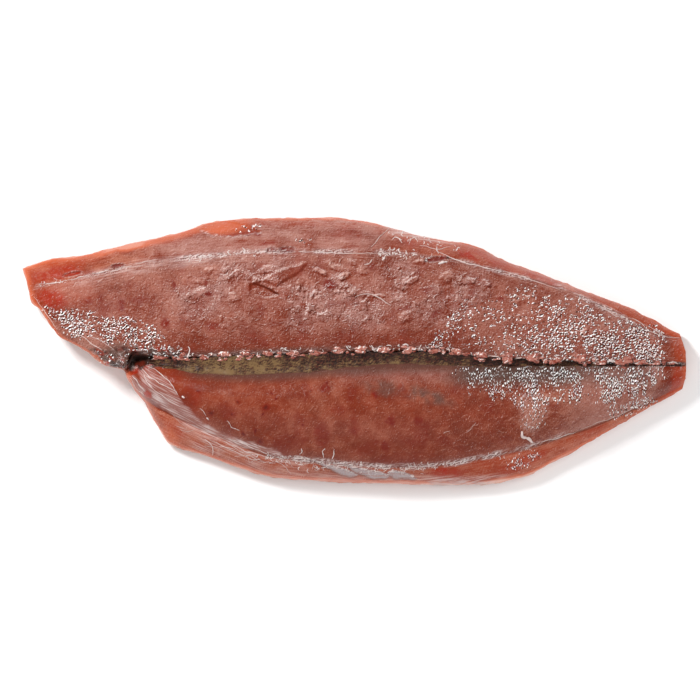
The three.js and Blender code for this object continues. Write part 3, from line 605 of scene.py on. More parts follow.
    # The holes at the ends of a slit are painted dark, as the shade inside them.
    dark = np.maximum(dark, 0.9 * spots(x, y, marks["seamHoles"]))
    thread = np.maximum.reduce([
        backThread * 0.9, bellyThread * (0.6 + 0.3 * smoothStep(50, 75, x)), slitEdge * 0.5, 0.45 * fatEdge,
        fibres, 0.95 * sheetHighlight, 0.2 * insideOf(wx, wy, marks["smear"], 6),
        0.45 * debris * smoothStep(0.1, 0.5, cloud(x, y, 4, 3, 36)),
        0.9 * shred * smoothStep(0.05, 0.5, cloud(x, y, 2.6, 2, 34))])
    sheet = np.maximum.reduce([backBand, fringe * 0.45, bellyLines, 0.3 * fibres, bellyRim])
    bellyGrit = np.where(lobe, 0.16 + 0.26 * smoothStep(20, 80, x), 0.35)
    grit = np.where(back & lobe, 0.5, bellyGrit) + 0.5 * torn
    shares = {"film": film, "blood": blood, "edge": edge, "dusk": dusk, "fan": fan, "thread": thread,
              "sheet": sheet, "silver": silver, "dark": dark, "grit": grit, "cool": cool, "warm": warm}
    shares = {name: np.clip(share, 0, 1) for name, share in shares.items()}
    # Strands run through the strips, and through the lobes only beside the back seam.
    shares["strand"] = np.where(lobe, 0.1, np.where(back, 0.7, 1.1))
    shares["strand"] += 0.7 * lobe * smoothStep(10, 3, np.abs(gap["backSeam"]))
    return {**shares, "glint": glintArea(x, y), "lit": np.clip(lit / 0.7, -1, 1)}


def putMesh(name, points, faces, material, attributes=None, flat=None):
    # points in mm; attributes are one number a point; flat is each point's place on the unrolled surface, in mm.
    mesh = bpy.data.meshes.new(name)
    mesh.from_pydata((np.asarray(points) * 0.001).tolist(), [], faces)
    mesh.shade_smooth()
    for key, values in (attributes or {}).items():
        attribute = mesh.attributes.new(key, "FLOAT", "POINT")
        attribute.data.foreach_set("value", np.asarray(values, np.float32).ravel())
    if flat is not None:
        corner = np.empty(len(mesh.loops), np.int32)
        mesh.loops.foreach_get("vertex_index", corner)
        mesh.uv_layers.new(name="flat").data.foreach_set("uv", (np.asarray(flat) * 0.001)[corner].ravel())
    mesh.materials.append(material)
    piece = bpy.data.objects.new(name, mesh)
    bpy.context.scene.collection.objects.link(piece)
    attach(piece, "root")
    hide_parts("fish_side")
    return piece


def gridFaces(rows, columns, closeRows=False):
    # Quads over a grid of points stored row by row, wound so that they face up where rows run towards the back.
    r = np.arange(rows if closeRows else rows - 1)[:, None]
    c = np.arange(columns - 1)[None, :]
    a, b = r * columns + c, (r + 1) % rows * columns + c
    return np.stack([a, a + 1, b + 1, b], -1).reshape(-1, 4)


def ringFaces(rings, sides, first):
    # Quads between closed rings of points, for many equal bodies whose first points have the numbers given.
    r, c = np.arange(rings - 1)[:, None] * sides, np.arange(sides)[None, :]
    after = (c + 1) % sides
    quads = np.stack([r + c, r + sides + c, r + sides + after, r + after], -1).reshape(-1, 4)
    return (quads[None] + first[:, None, None]).reshape(-1, 4).tolist()


def fillInputs(node, inputs):
    # Inputs go by order, or by number or name: a value, a hex colour, or a link from another node's output.
    for key, value in inputs.items() if isinstance(inputs, dict) else enumerate(inputs):
        if isinstance(value, bpy.types.NodeSocket):
            node.id_data.links.new(value, node.inputs[key])
        else:
            node.inputs[key].default_value = hexToLinear(value) if isinstance(value, str) else value


def addNode(tree, kind, inputs=(), out=0, **settings):
    # Adds a node and gives back one of its outputs. Its kind may have its operation after a space.
    kind, *operation = kind.split()
    node = tree.nodes.new("ShaderNode" + kind)
    if operation:
        node.operation = operation[0]
    for name, value in settings.items():
        setattr(node, name, value)
    fillInputs(node, inputs)
    return node.outputs[out]


def newMaterial(name, look):
    # A material, its bare shader with the even values from the look dictionary, and a way to add nodes to it.
    material = bpy.data.materials.new(name)
    material.use_nodes = True
    shader = material.node_tree.nodes["Principled BSDF"]
    fillInputs(shader, {
        "IOR": look["ior"], "Specular IOR Level": look.get("specular", 0.5), "Subsurface Weight": look["glow"],
        "Subsurface Radius": look["glowRadius"], "Subsurface Scale": look["glowScale"],
        "Coat Weight": look["wet"], "Coat Roughness": look["wetRoughness"],
        "Coat IOR": 1.33,  # a film of water
    })
    return material, shader, partial(addNode, material.node_tree)


lightShift = (-0.00028, 0.00042, 0.0)  # a short step in m towards the main light


def litSide(add, vector, size, detail, roughness, distortion, creased=False):
    # A small relief, and how far it rises from a point one short step towards the light to here: above 0 on
    # its lit side and below 0 on its dark side. That difference paints light and shade into colours. A creased
    # relief is the distance of the noise from its middle.
    nearer = add("VectorMath ADD", (vector, lightShift))
    pair = [add("TexNoise", {"Vector": v, "Scale": 1000 / size, "Detail": detail, "Roughness": roughness,
                             "Distortion": distortion}) for v in (vector, nearer)]
    if creased:
        pair = [add("Math ABSOLUTE", (add("Math SUBTRACT", (v, 0.5)),)) for v in pair]
    return pair[0], add("Math SUBTRACT", pair)


# Muscle of a red-fleshed fish with the skin pulled off. It is dense and slightly see-through, so light spreads
# a few millimetres inside it, and thin edges turn orange: that glow is painted into the colour as well. A film
# of water gives a soft gloss. The small glints of its fine wet grain, with shade beside each, are painted into
# the colour, and so are the lit and shaded sides of its relief.
fleshLook = {
    "deep": "#6d2714", "fresh": "#a64022", "filmWarm": "#c98468", "filmCool": "#c0978d",
    "blood": "#6e190c", "bloodFresh": "#9a260c",
    # Painted light among these tones: glint is painted highlight and glintShade painted shade, fleck a painted
    # highlight, crease the painted shade in folds, edge and edgePale the painted glow of thin edges (edge also colours
    # the fat), and dark the painted shade in the pit, grooves and creases as well as the clots.
    "edge": "#cc6440", "edgePale": "#e2ad9a", "dusk": "#4d3e38", "fascia": "#dfcdc9", "silver": "#aa9e9f",
    "dark": "#2d1813", "glint": "#ffffff", "glintShade": "#1d0d09", "fleck": "#e0cac5", "crease": "#4a1c12",
    "cutFace": "#a4513f", "cutLine": "#c98d7c", "wallDeep": "#983c25", "wallPale": "#cf8569",
    "ior": 1.33, "specular": 0.15, "glow": 0.05, "glowRadius": (1.0, 0.32, 0.2), "glowScale": 0.002, "wet": 0.3,
    "wetRoughness": 0.16,
    "grainSize": 1.3, "creaseSize": 3.6, "lumpSize": 3.4, "mottleSize": 7.0, "fibreSize": 0.9, "glintSize": 1.0,
    "curlSize": 1.45, "fanSize": 0.75, "layerSize": 1.8, "chanceSize": 1.7, "speckSize": 3.2, "flakeWidth": 6.0,
    "patchLevel": -0.95,  # evens out the mean of the film's patches
}


def rawFlesh():
    look = fleshLook
    material, shader, add = newMaterial("rawFishMuscleSkinnedWet", look)
    share = {name: add("Attribute", out="Fac", attribute_name=name) for name in (
        "film", "blood", "edge", "dusk", "fan", "thread", "sheet", "silver", "glint", "dark", "grit", "cool",
        "warm", "strand", "lit", "wall")}
    place = add("TexCoord", out="Object")
    axes = add("SeparateXYZ", (place,)).node.outputs
    # Fibres run along the seams: the flat map is squeezed lengthwise, so its noise draws out into lines. The
    # grain lies level on the back loin and stands upright on the belly loin.
    flat = add("UVMap", uv_map="flat")
    upright, level, layered, drawn, curly = (add("Mapping", {"Vector": v, "Scale": scale}) for v, scale in (
        (place, (1.9, 0.65, 0.0)), (place, (1.0, 1.0, 0.3)), (place, (0.12, 0.12, 1.0)),
        (flat, (0.07, 1.0, 1.0)), (flat, (0.45, 1.0, 1.0))))
    onBack = add("MapRange", (axes["Y"], -0.01, -0.008))
    grainPlace = add("Mix", {0: onBack, 4: upright, 5: level}, out=1, data_type="VECTOR")
    lump, mottle, fibre, fanFibre, chance, layers = (
        add("TexNoise", {"Vector": v, "Scale": 1000 / size, "Detail": detail, "Roughness": roughness,
                         "Distortion": distortion})
        for v, size, detail, roughness, distortion in (
            (place, look["lumpSize"], 2.0, 0.5, 0.6), (place, look["mottleSize"], 4.0, 0.6, 0.8),
            (drawn, look["fibreSize"], 2.0, 0.5, 0.3), (drawn, look["fanSize"], 1.0, 0.5, 0.2),
            (grainPlace, look["chanceSize"], 0.0, 0.5, 0.0), (layered, look["layerSize"], 3.0, 0.6, 0.4)))
    grain, grainLit = litSide(add, grainPlace, look["grainSize"], 2.0, 0.7, 0.8)
    crease, creaseLit = litSide(add, level, look["creaseSize"], 2.0, 0.6, 1.0, creased=True)
    ridge, ridgeLit = litSide(add, grainPlace, look["glintSize"], 0.0, 0.5, 0.5)
    curl, curlLit = litSide(add, curly, look["curlSize"], 1.0, 0.5, 1.2)

    # The film is patchy at three sizes, and the lit and shaded sides of the relief at three sizes are painted
    # into it.
    patch = look["patchLevel"]
    for pattern, weight in ((mottle, 0.6), (lump, 0.5), (grain, 0.8), (grainLit, 0.8), (creaseLit, 2.0)):
        patch = add("Math MULTIPLY_ADD", (pattern, weight, patch))
    film = add("Math MULTIPLY_ADD", (patch, add("MapRange", (share["grit"], 0.0, 1.0, 0.2, 1.0)), share["film"]))
    film = add("Math MULTIPLY_ADD", (share["lit"], 0.4, film))
    streak = add("Math SUBTRACT", (fibre, 0.5))
    film = add("Math MULTIPLY_ADD", (streak, share["strand"], film), use_clamp=True)

    # Glints are painted: the lit sides of a fine wet grain are painted white, thinned out by a second noise, with
    # painted shade on the dark side of the same grain next to each. Torn fibres are painted the same way, only
    # duller: pale fascia on their lit sides and painted shade on their dark sides. On the leathery surface the
    # steepest lit sides get painted highlights as pale flecks, the steepest dark sides painted shade as folds, and
    # small painted highlights lie loose on it as specks.
    glintHere = add("MapRange", (add("Math MULTIPLY_ADD", (share["glint"], 0.38, chance)), 0.62, 0.7))
    glintHere = add("Math MULTIPLY", (glintHere, add("MapRange", (share["glint"], 0.02, 0.08))))
    steep = add("Math MULTIPLY_ADD", (grainLit, 0.5, creaseLit))
    steep = add("Math MULTIPLY_ADD", (share["lit"], 0.14, steep))
    leathery = add("MapRange", (share["grit"], 0.3, 1.0, 0.1, 0.8))
    specked = add("MapRange", (share["grit"], 0.3, 1.0, 0.0, 0.6))
    cells = add("TexVoronoi", {"Vector": place, "Scale": 1000 / look["speckSize"]}).node.outputs
    lot = add("SeparateColor", (cells["Color"],))
    shown = {"film": film, "dusk": share["dusk"], "dark": share["dark"]}
    # What shows, its share, and the pattern it follows: two levels of the pattern and its strength at each.
    for name, amount, pattern, *levels in (
        ("blood", share["blood"], lump, 0.33, 0.52, 0.45, 1.0),
        ("edge", 1.0, share["edge"], 0.0, 0.6, 0.0, 0.75),
        ("edgePale", 1.0, share["edge"], 0.68, 1.0, 0.0, 0.85),
        ("fold", leathery, steep, -0.09, -0.16),
        ("fleck", leathery, steep, 0.1, 0.17),
        ("sheet", share["sheet"], fibre, 0.42, 0.6, 0.1, 1.0),
        ("fan", share["fan"], fanFibre, 0.46, 0.6, 0.22, 1.0),
        ("silver", share["silver"], fibre, 0.3, 0.5, 0.45, 1.0),
        ("threadGap", share["thread"], curlLit, -0.05, -0.12, 0.0, 0.7),
        ("thread", share["thread"], curlLit, -0.02, 0.08, 0.1, 1.0),
        ("speck", specked, cells["Distance"], 0.17, 0.08),
        ("glintShade", glintHere, ridgeLit, -0.06, -0.12, 0.0, 0.95),
        ("glint", glintHere, ridgeLit, 0.08, 0.13),
        ("wall", 1.0, share["wall"], 0.1, 0.6, 0.0, 0.9),
        ("cut", 1.0, axes["Z"], 0.0006, 0.0001),
    ):
        shown[name] = add("Math MULTIPLY", (amount, add("MapRange", (pattern, *levels))))
    shown["silver"] = add("Math MULTIPLY", (shown["silver"], add("MapRange", (grain, 0.36, 0.52, 0.6, 1.0))))
    shown["speck"] = add("Math MULTIPLY", (shown["speck"], add("MapRange", (lot, 0.62, 0.6))))

    # The knife's cut round the outline is bare muscle in thin level layers, the paler ones a painted glow of
    # light getting through it.
    # The underside is the plain cut through the muscle, with the bent lines between its flakes.
    layers = add("Math MULTIPLY_ADD", (mottle, 0.7, add("Math MULTIPLY", (layers, 1.2))))
    fromMiddle = add("Math ABSOLUTE", (add("Math ADD", (axes["Y"], 0.01)),))
    bent = add("Math MULTIPLY_ADD", (fromMiddle, 0.8, axes["X"]))
    bent = add("Math MULTIPLY_ADD", (mottle, 0.006, bent))
    wave = add("Math PINGPONG", (bent, look["flakeWidth"] * 0.0005))
    tone = dict(look, fold=look["crease"], sheet=look["fascia"], fan=look["fascia"], thread=look["fascia"],
                threadGap=look["dark"], speck=look["fleck"])
    for name, amount, low, high in (
        ("flesh", share["warm"], "deep", "fresh"),
        ("film", share["cool"], "filmWarm", "filmCool"),
        ("blood", add("MapRange", (share["warm"], 0.15, 0.5)), "blood", "bloodFresh"),
        ("wall", add("MapRange", (layers, 0.7, 1.2)), "wallDeep", "wallPale"),
        ("cut", add("MapRange", (wave, 0.0005, 0.0001, 0.0, 0.7)), "cutFace", "cutLine"),
    ):
        tone[name] = add("Mix", {0: amount, 6: look[low], 7: look[high]}, out=2, data_type="RGBA")
    colour = tone["flesh"]
    for name in ("film", "blood", "dusk", "edge", "edgePale", "fold", "fleck", "sheet", "fan", "silver",
                 "threadGap", "thread", "speck", "dark", "glintShade", "glint", "wall", "cut"):
        colour = add("Mix", {0: shown[name], 6: colour, 7: tone[name]}, out=2, data_type="RGBA")

    height = add("Math MULTIPLY_ADD", (grain, 0.5, add("Math MULTIPLY", (crease, 2.4))))
    height = add("Math MULTIPLY_ADD", (lump, 0.8, height))
    height = add("Math MULTIPLY", (height, add("MapRange", (share["grit"], 0.0, 1.0, 0.1, 1.0))))
    height = add("Math MULTIPLY_ADD", (ridge, share["glint"], height))
    height = add("Math MULTIPLY_ADD", (curl, share["thread"], height))
    bump = add("Bump", {"Height": height, "Strength": 0.9, "Distance": 0.001})
    fillInputs(shader, {"Base Color": colour, "Roughness": add("MapRange", (mottle, 0.3, 0.7, 0.36, 0.52)),
                        "Normal": bump, "Coat Normal": bump})
    return material


loins = {
    "bellyLoin": {"columns": 570, "seam": "bellySeam", "bands": [("bellyEdge", "bellySeam", 28, 1.5),
                                                                 ("bellySeam", "bellyLip", 92, 1.0),
                                                                 ("bellyLip", "grooveFloor", 10, 1.0)]},
    "backLoin": {"columns": 640, "seam": "backSeam", "bands": [("grooveFloor", "upperLip", 6, 1.0),
                                                               ("upperLip", "backSeam", 98, 1.0),
                                                               ("backSeam", "backEdge", 36, -1.5)]},
    "wallFalls": (0.22, 0.45, 0.7, 0.88, 1.0),
    "overlap": 0.35,  # the belly loin reaches this far past the groove's floor, so no gap opens between the two
}


def meetCut(cut, yAt, start, count):
    # Where each row meets a cut: its point is moved onto the cut until it stays.
    x = np.full(count, float(start))
    for _ in range(60):
        x = (x + cut(yAt(x))) / 2
    return x


def loinGrid(spec, reachOver):
    # Rows run between two of the long lines and from the head cut to the tail cut.
    along = np.linspace(0, 1, spec["columns"])
    allX, allY = [], []
    for n, (low, high, rows, crowd) in enumerate(spec["bands"]):
        w = np.linspace(0, 1, rows + 1)[1 if n else 0:]
        w = w ** crowd if crowd > 0 else 1 - (1 - w) ** -crowd
        lift = reachOver * w if high == "grooveFloor" else 0.0 * w

        def yAt(x, low=low, high=high, w=w, lift=lift):
            return lineAt[low](x) + (lineAt[high](x) - lineAt[low](x)) * w + lift

        head, tail = meetCut(headCut, yAt, -160, len(w)), meetCut(tailCut, yAt, 200, len(w))
        x = head[:, None] + (tail - head)[:, None] * along[None, :]
        y = lineAt[low](x) + (lineAt[high](x) - lineAt[low](x)) * w[:, None] + lift[:, None]
        allX.append(x)
        allY.append(y)
    x, y = np.vstack(allX), np.vstack(allY)
    # The outline is a knife's cut through soft flesh, so it wavers by about half a millimetre.
    near = 1 - smoothStep(0, 5, regions(x, y)["outline"])
    near = near * smoothStep(4, 9, np.abs(y - lineAt["grooveFloor"](x)))
    return x + 0.5 * near * cloud(x, y, 6, 3, 51), y + 0.5 * near * cloud(x, y, 6, 3, 57)


def makeLoin(name, material):
    # A closed body: the grid on top, a wall that curves in below the outline, and the flat cut face.
    spec = loins[name]
    x, y = loinGrid(spec, loins["overlap"] if name == "bellyLoin" else 0.0)
    rows, columns = x.shape
    z = fleshHeight(x, y)
    points = [np.stack([x, y, z], -1).reshape(-1, 3)]
    index = np.arange(rows * columns).reshape(rows, columns)
    rim = np.concatenate([index[0], index[1:, -1], index[-1, -2::-1], index[-2:0:-1, 0]])
    top = points[0][rim]
    away = smoothStep(0, 9, np.abs(top[:, 1] - lineAt["grooveFloor"](top[:, 0])))  # no undercut at the groove
    faces = gridFaces(rows, columns).tolist()
    last, count = rim, rows * columns
    for fall in loins["wallFalls"]:
        tuck = side["undercut"] * fall ** 2.4 * away
        inward = np.stack([tuck / side["halfSize"][0], tuck / side["halfSize"][1], np.full(len(rim), fall)], -1)
        points.append(top * (1 - inward))
        here = np.arange(count, count + len(rim))
        faces += np.stack([last, here, np.roll(here, -1), np.roll(last, -1)], -1).tolist()
        last, count = here, count + len(rim)
    faces.append(last[::-1].tolist())
    points = np.vstack(points)
    flat = np.stack([points[:, 0], points[:, 1] - lineAt[spec["seam"]](points[:, 0])], -1)
    # What lies on top of the flesh ends at the knife's cut, so it fades out down the wall.
    shares = tissues(points[:, 0], points[:, 1])
    shares["wall"] = np.append(np.zeros(rows * columns), np.repeat(loins["wallFalls"], len(rim)))
    for key in ("blood", "dusk", "fan", "thread", "sheet", "silver", "glint", "dark", "grit", "lit"):
        shares[key] = shares[key] * (1 - smoothStep(0.0, 0.4, shares["wall"]))
    return putMesh(name, points, faces, material, shares, flat)


flesh = rawFlesh()
bellyLoin = makeLoin("bellyLoin", flesh)
backLoin = makeLoin("backLoin", flesh)
print("loins made")


# A strip of dark skin that stayed in the groove when the side was skinned. It is thin, matt and olive, gold
# towards the head and nearly black towards the tail, with its scale pockets in slanting streaks.
skinLook = {
    "gold": "#775c3b", "olive": "#4c3423", "dark": "#25120c", "edge": "#5f3c30", "red": "#57291f",
    "ior": 1.38, "specular": 0.25, "glow": 0.03, "glowRadius": (1.0, 0.5, 0.3), "glowScale": 0.001, "wet": 0.1,
    "wetRoughness": 0.3, "streakSize": 1.3, "blotchSize": 5.0, "scaleSize": 1.2,
}
skinStrip = {
    "top": [(-129, -5.5), (-119.5, -5), (-110.1, -4.6), (-97.4, -4.4), (-81.6, -3.4), (-65.8, -2.9), (-34.2, -2.3),
            (-18.3, -1.6), (-2.5, -1), (29.1, -0.5), (60.7, -1.3), (79.7, -3.6), (105, -5.4), (130.3, -6.4),
            (155.6, -7.4), (180.9, -8), (207, -8.2)],
    "bottom": [(-129, -8.5), (-119.5, -10.5), (-110.1, -12), (-97.4, -14.3), (-81.6, -14.9), (-65.8, -14.9),
               (-34.2, -13.9), (-18.3, -12.4), (-2.5, -10.2), (29.1, -8.3), (60.7, -9.1), (79.7, -10),
               (105, -9.8), (130.3, -9.8), (155.6, -9.7), (180.9, -9.4), (207, -9.5)],
    "columns": 420, "rows": 18, "thick": 0.9, "lift": 0.55, "sag": 1.6,
}


def leftoverSkin():
    look = skinLook
    material, shader, add = newMaterial("leftoverFishSkinMatt", look)
    place = add("TexCoord", out="Object")
    gold, rim = (add("Attribute", out="Fac", attribute_name=name) for name in ("gold", "rim"))
    slanted = add("Mapping", {"Vector": place, "Rotation": (0, 0, 0.5), "Scale": (0.4, 1.2, 0)})
    streak = add("TexNoise", {"Vector": slanted, "Scale": 1000 / look["streakSize"], "Detail": 3.0,
                              "Roughness": 0.7})
    blotch = add("TexNoise", {"Vector": place, "Scale": 1000 / look["blotchSize"], "Detail": 3.0})
    scales, lit = litSide(add, place, look["scaleSize"], 1.0, 0.5, 0.5)
    # The scales' lit and shaded sides are painted into the tone along with the streaks and blotches.
    tone = add("Math SUBTRACT", (gold, 0.82))
    for pattern, weight in ((streak, 2.4), (blotch, 2.4), (lit, 1.6)):
        tone = add("Math MULTIPLY_ADD", (pattern, weight, tone))
    colour = look["dark"]
    for name, amount, *levels in (("olive", tone, 1.3, 1.7), ("red", scales, 0.5, 0.62, 0.0, 0.6),
                                  ("gold", tone, 1.7, 2.3), ("edge", rim, 0.0, 1.0)):
        colour = add("Mix", {0: add("MapRange", (amount, *levels)), 6: colour, 7: look[name]}, out=2,
                     data_type="RGBA")
    bump = add("Bump", {"Height": streak, "Strength": 0.5, "Distance": 0.0006})
    fillInputs(shader, {"Base Color": colour, "Roughness": 0.55, "Normal": bump})
    return material


def layStrip(name, spec, material):
    # A thin closed ribbon between two lines. Its top lies on the flesh and spans the groove, sagging by a half-wave
    # under the straight line from its low edge to the upper lip. Its underside runs the same thickness below.
    x = np.linspace(spec["top"][0][0], spec["top"][-1][0], spec["columns"])
    low = smoothLine(spec["bottom"])(x) + 0.5 * cloud(x, 0 * x, 5, 3, 81)
    high = smoothLine(spec["top"])(x) + 0.5 * cloud(x, 0 * x, 6, 3, 83)
    high = np.maximum(high, low + 0.7)
    w = np.linspace(0, 1, spec["rows"])[:, None]
    y = low + (high - low) * w
    xs = np.broadcast_to(x, y.shape)
    arch = np.sin(np.pi * np.clip(w, 0, 1)).clip(0) ** 0.8
    ground = fleshHeight(xs, y)
    lipLine = lineAt["upperLip"](x)
    span = ground[0] + (fleshHeight(x, lipLine + 0.4) - ground[0]) * (y - low) / (lipLine - low)
    top = np.maximum(ground + spec["lift"] * arch ** 0.3, span - spec["sag"] * arch - 1.2 * w ** 4)
    top = top + 0.3 * cloud(xs, y, 3, 2, 85) * arch
    bottom = top - spec["thick"]
    points = np.concatenate([np.stack([xs, y, top], -1), np.stack([xs, y, bottom], -1)[::-1]])
    rows, columns = points.shape[:2]
    faces = gridFaces(rows, columns, True).tolist()
    ends = np.arange(rows) * columns
    faces += [ends.tolist(), (ends + columns - 1)[::-1].tolist()]
    flatPoints = points.reshape(-1, 3)
    across = np.concatenate([w, w[::-1]]).repeat(columns, 1).ravel()
    gold = 0.1 + 0.42 * smoothStep(0, -80, flatPoints[:, 0]) - 0.25 * smoothStep(40, 110, flatPoints[:, 0])
    gold = gold - 0.6 * smoothStep(-98, -112, flatPoints[:, 0])
    # Darker towards the top edge, in under the stubs, as painted shade; a little lighter along the low edge.
    gold = gold - (0.15 + 0.35 * smoothStep(-70, -10, flatPoints[:, 0])) * across + 0.1 * smoothStep(0.3, 0, across)
    rimShare = 0.5 * (1 - smoothStep(0, 0.12, across))
    return putMesh(name, flatPoints, faces, material, {"gold": gold, "rim": rimShare})


layStrip("skinStrip", skinStrip, leftoverSkin())
print("skin strip laid")


# Gristle stubs: the ends of the pin bones' cartilage, torn off along the upper lip. Wet, rounded and pink,
# pale where the cartilage shows and red where flesh still hangs on it. Each lump also has a painted highlight
# on its side towards the light and painted shade on its far side and underneath.
stubLook = {
    "pink": "#ab6c5e", "pale": "#f2e2dd", "raw": "#87392a", "shade": "#3d241d",
    "ior": 1.38, "specular": 0.3, "glow": 0.1, "glowRadius": (1.0, 0.4, 0.3), "glowScale": 0.001, "wet": 0.6,
    "wetRoughness": 0.1, "grainSize": 2.6,
}
stubs = {
    "places": [  # centre, half length, half width, redness
        ((-122.7, -3.2), 4.1, 2.3, 0.9), ((-110.1, -3.8), 4.1, 2.5, 0.5), ((-94.9, -3.3), 3.0, 2.5, 0.6),
        ((-81, -2.0), 3.8, 1.9, 0.2), ((-68.3, -1.5), 3.5, 2.2, 0.4), ((-53.8, -1.3), 3.5, 1.9, 0.6),
        ((-38.6, -1.0), 3.8, 1.9, 0.3), ((-24.7, -0.6), 3.8, 2.3, 0.2), ((-10.1, 0.0), 4.4, 2.3, 0.3),
        ((4.4, 0.9), 3.3, 2.3, 0.2), ((18.7, 1.0), 3.8, 2.5, 0.35), ((34.2, 1.0), 3.8, 2.8, 0.15),
        ((50, 0.6), 3.3, 2.8, 0.4), ((64.5, 0.3), 4.7, 2.7, 0.45), ((79.7, -2.5), 4.4, 2.5, 0.4),
        ((96.1, -3.8), 3.8, 3.8, 0.5), ((112, -3.8), 4.4, 2.9, 0.4), ((126.5, -5.4), 3.8, 2.8, 0.6),
        ((141.7, -4.4), 4.1, 2.9, 0.4), ((154.3, -7), 4.1, 2.5, 0.35), ((168.9, -6.3), 6.3, 2.4, 0.5),
        ((180, -7.0), 3.8, 1.6, 0.45), ((190.5, -7.6), 3.4, 1.3, 0.4), ((200, -8.0), 2.6, 1.0, 0.6),
    ],
    "lumpsEach": 4, "crumbs": 90, "halfHeight": 0.85, "rings": 16, "sides": 28, "lumps": 0.36, "seed": 77,
}


def gristle():
    look = stubLook
    material, shader, add = newMaterial("fishGristleTornWet", look)
    grain, lit = litSide(add, add("TexCoord", out="Object"), look["grainSize"], 1.0, 0.5, 0.9)
    colour = look["pink"]
    # Painted light and shade: lit sides of the crumpled relief are painted pale and dark ones painted shaded.
    for name, push, tone, low, high in (("raw", 2.0, "raw", 0.3, 0.7), ("cap", 4.0, "pale", 0.45, 0.85),
                                        ("underShade", -4.0, "shade", 0.45, 0.85)):
        share = add("Attribute", out="Fac", attribute_name=name)
        amount = add("Math MULTIPLY_ADD", (lit, push, share), use_clamp=True)
        colour = add("Mix", {0: add("MapRange", (amount, low, high)), 6: colour, 7: look[tone]}, out=2,
                     data_type="RGBA")
    bump = add("Bump", {"Height": grain, "Strength": 0.6, "Distance": 0.0006})
    fillInputs(shader, {"Base Color": colour, "Roughness": 0.3, "Normal": bump})
    return material


def breakStubs(spec):
    # Each stub is one larger lump with smaller ones torn off round it, and crumbs lie along the lip between them.
    rng = np.random.default_rng(spec["seed"])
    many = spec["lumpsEach"]
    centre = np.repeat(np.array([p[0] for p in spec["places"]], float), many, 0)
    size = np.repeat(np.array([(p[1], p[2]) for p in spec["places"]], float), many, 0)
    red = np.repeat(np.array([p[3] for p in spec["places"]]), many)
    loose = (np.arange(len(red)) % many > 0).astype(float)
    centre += loose[:, None] * rng.uniform(-0.75, 0.75, centre.shape) * size
    size *= np.where(loose[:, None] > 0, rng.uniform(0.3, 0.6, size.shape), 0.95)
    red = np.clip(red + loose * rng.normal(0, 0.35, len(red)), 0, 1)
    x = rng.uniform(-127, 200, spec["crumbs"])
    crumb = np.stack([x, lineAt["upperLip"](x) + rng.normal(-1.2, 1.1, len(x))], -1)
    centre = np.vstack([centre, crumb])
    size = np.vstack([size, rng.uniform(0.5, 1.5, (len(x), 2)) * (1.5, 0.8)])
    red = np.append(red, rng.uniform(-0.2, 1.2, len(x)))
    return centre, np.column_stack([size, spec["halfHeight"] * (size[:, 1] / 2.0).clip(0.25, 1)]), red


def growStubs(name, spec, material):
    # Each lump is a ball of rings from pole to pole, stretched to its size and swollen by noise of its direction.
    rings, sides = spec["rings"], spec["sides"]
    polar = np.linspace(0, np.pi, rings + 2)[1:-1]
    around = np.linspace(0, 2 * np.pi, sides, endpoint=False)
    ball = np.stack([np.outer(np.sin(polar), np.cos(around)), np.outer(np.sin(polar), np.sin(around)),
                     np.outer(np.cos(polar), np.ones(sides))], -1).reshape(-1, 3)
    ball = np.vstack([ball, [[0, 0, 1], [0, 0, -1]]])
    centre, size, red = breakStubs(spec)
    count = len(centre)
    seed = np.arange(count)[:, None] * 5.3
    u, v = ball[:, 0] * 1.4 + ball[:, 2] * 0.9, ball[:, 1] * 1.4 - ball[:, 2] * 0.8
    swell = np.clip(1 + spec["lumps"] * cloud(u[None] + seed, v[None] - seed, 1.0, 2, 90), 0.4, 1.6)
    points = ball[None] * size[:, None] * np.stack([swell, swell, 0.5 + 0.5 * swell], -1)
    lip = lineAt["upperLip"](centre[:, 0])
    ground = np.maximum(fleshHeight(centre[:, 0], centre[:, 1]), fleshHeight(centre[:, 0], lip + 0.5) - 1.4)
    points += np.concatenate([centre, ground[:, None]], 1)[:, None]
    speckle = cloud(u[None] * 2 + seed, v[None] * 2 + seed, 1.0, 2, 93)
    # Cap paints a highlight on each lump's side towards the light, mixed with the pale of bare cartilage, and the
    # under-shade paints shade on its far side and underneath; raw is flesh still on it.
    cap = 0.28 - 0.15 * ball[None, :, 0] + 0.4 * ball[None, :, 1] + 0.4 * speckle - 0.35 * red[:, None]
    raw = 0.55 * red[:, None] + 0.15 * ball[None, :, 0] - 0.2 * ball[None, :, 1] - 0.5 * speckle
    underShade = 0.05 - 0.35 * ball[None, :, 1] + 0.4 * smoothStep(0.5, 0.0, ball[None, :, 2])
    first, here = np.arange(count) * len(ball), np.arange(sides)
    after, lastRing = (here + 1) % sides, (rings - 1) * sides
    fans = np.vstack([np.stack([np.full(sides, rings * sides), here, after], -1),
                      np.stack([np.full(sides, rings * sides + 1), lastRing + after, lastRing + here], -1)])
    faces = ringFaces(rings, sides, first) + (fans[None] + first[:, None, None]).reshape(-1, 3).tolist()
    return putMesh(name, points.reshape(-1, 3), faces, material,
                   {"cap": cap, "raw": raw, "underShade": np.broadcast_to(underShade, raw.shape)})


growStubs("gristleStubs", stubs, gristle())
print("stubs grown")


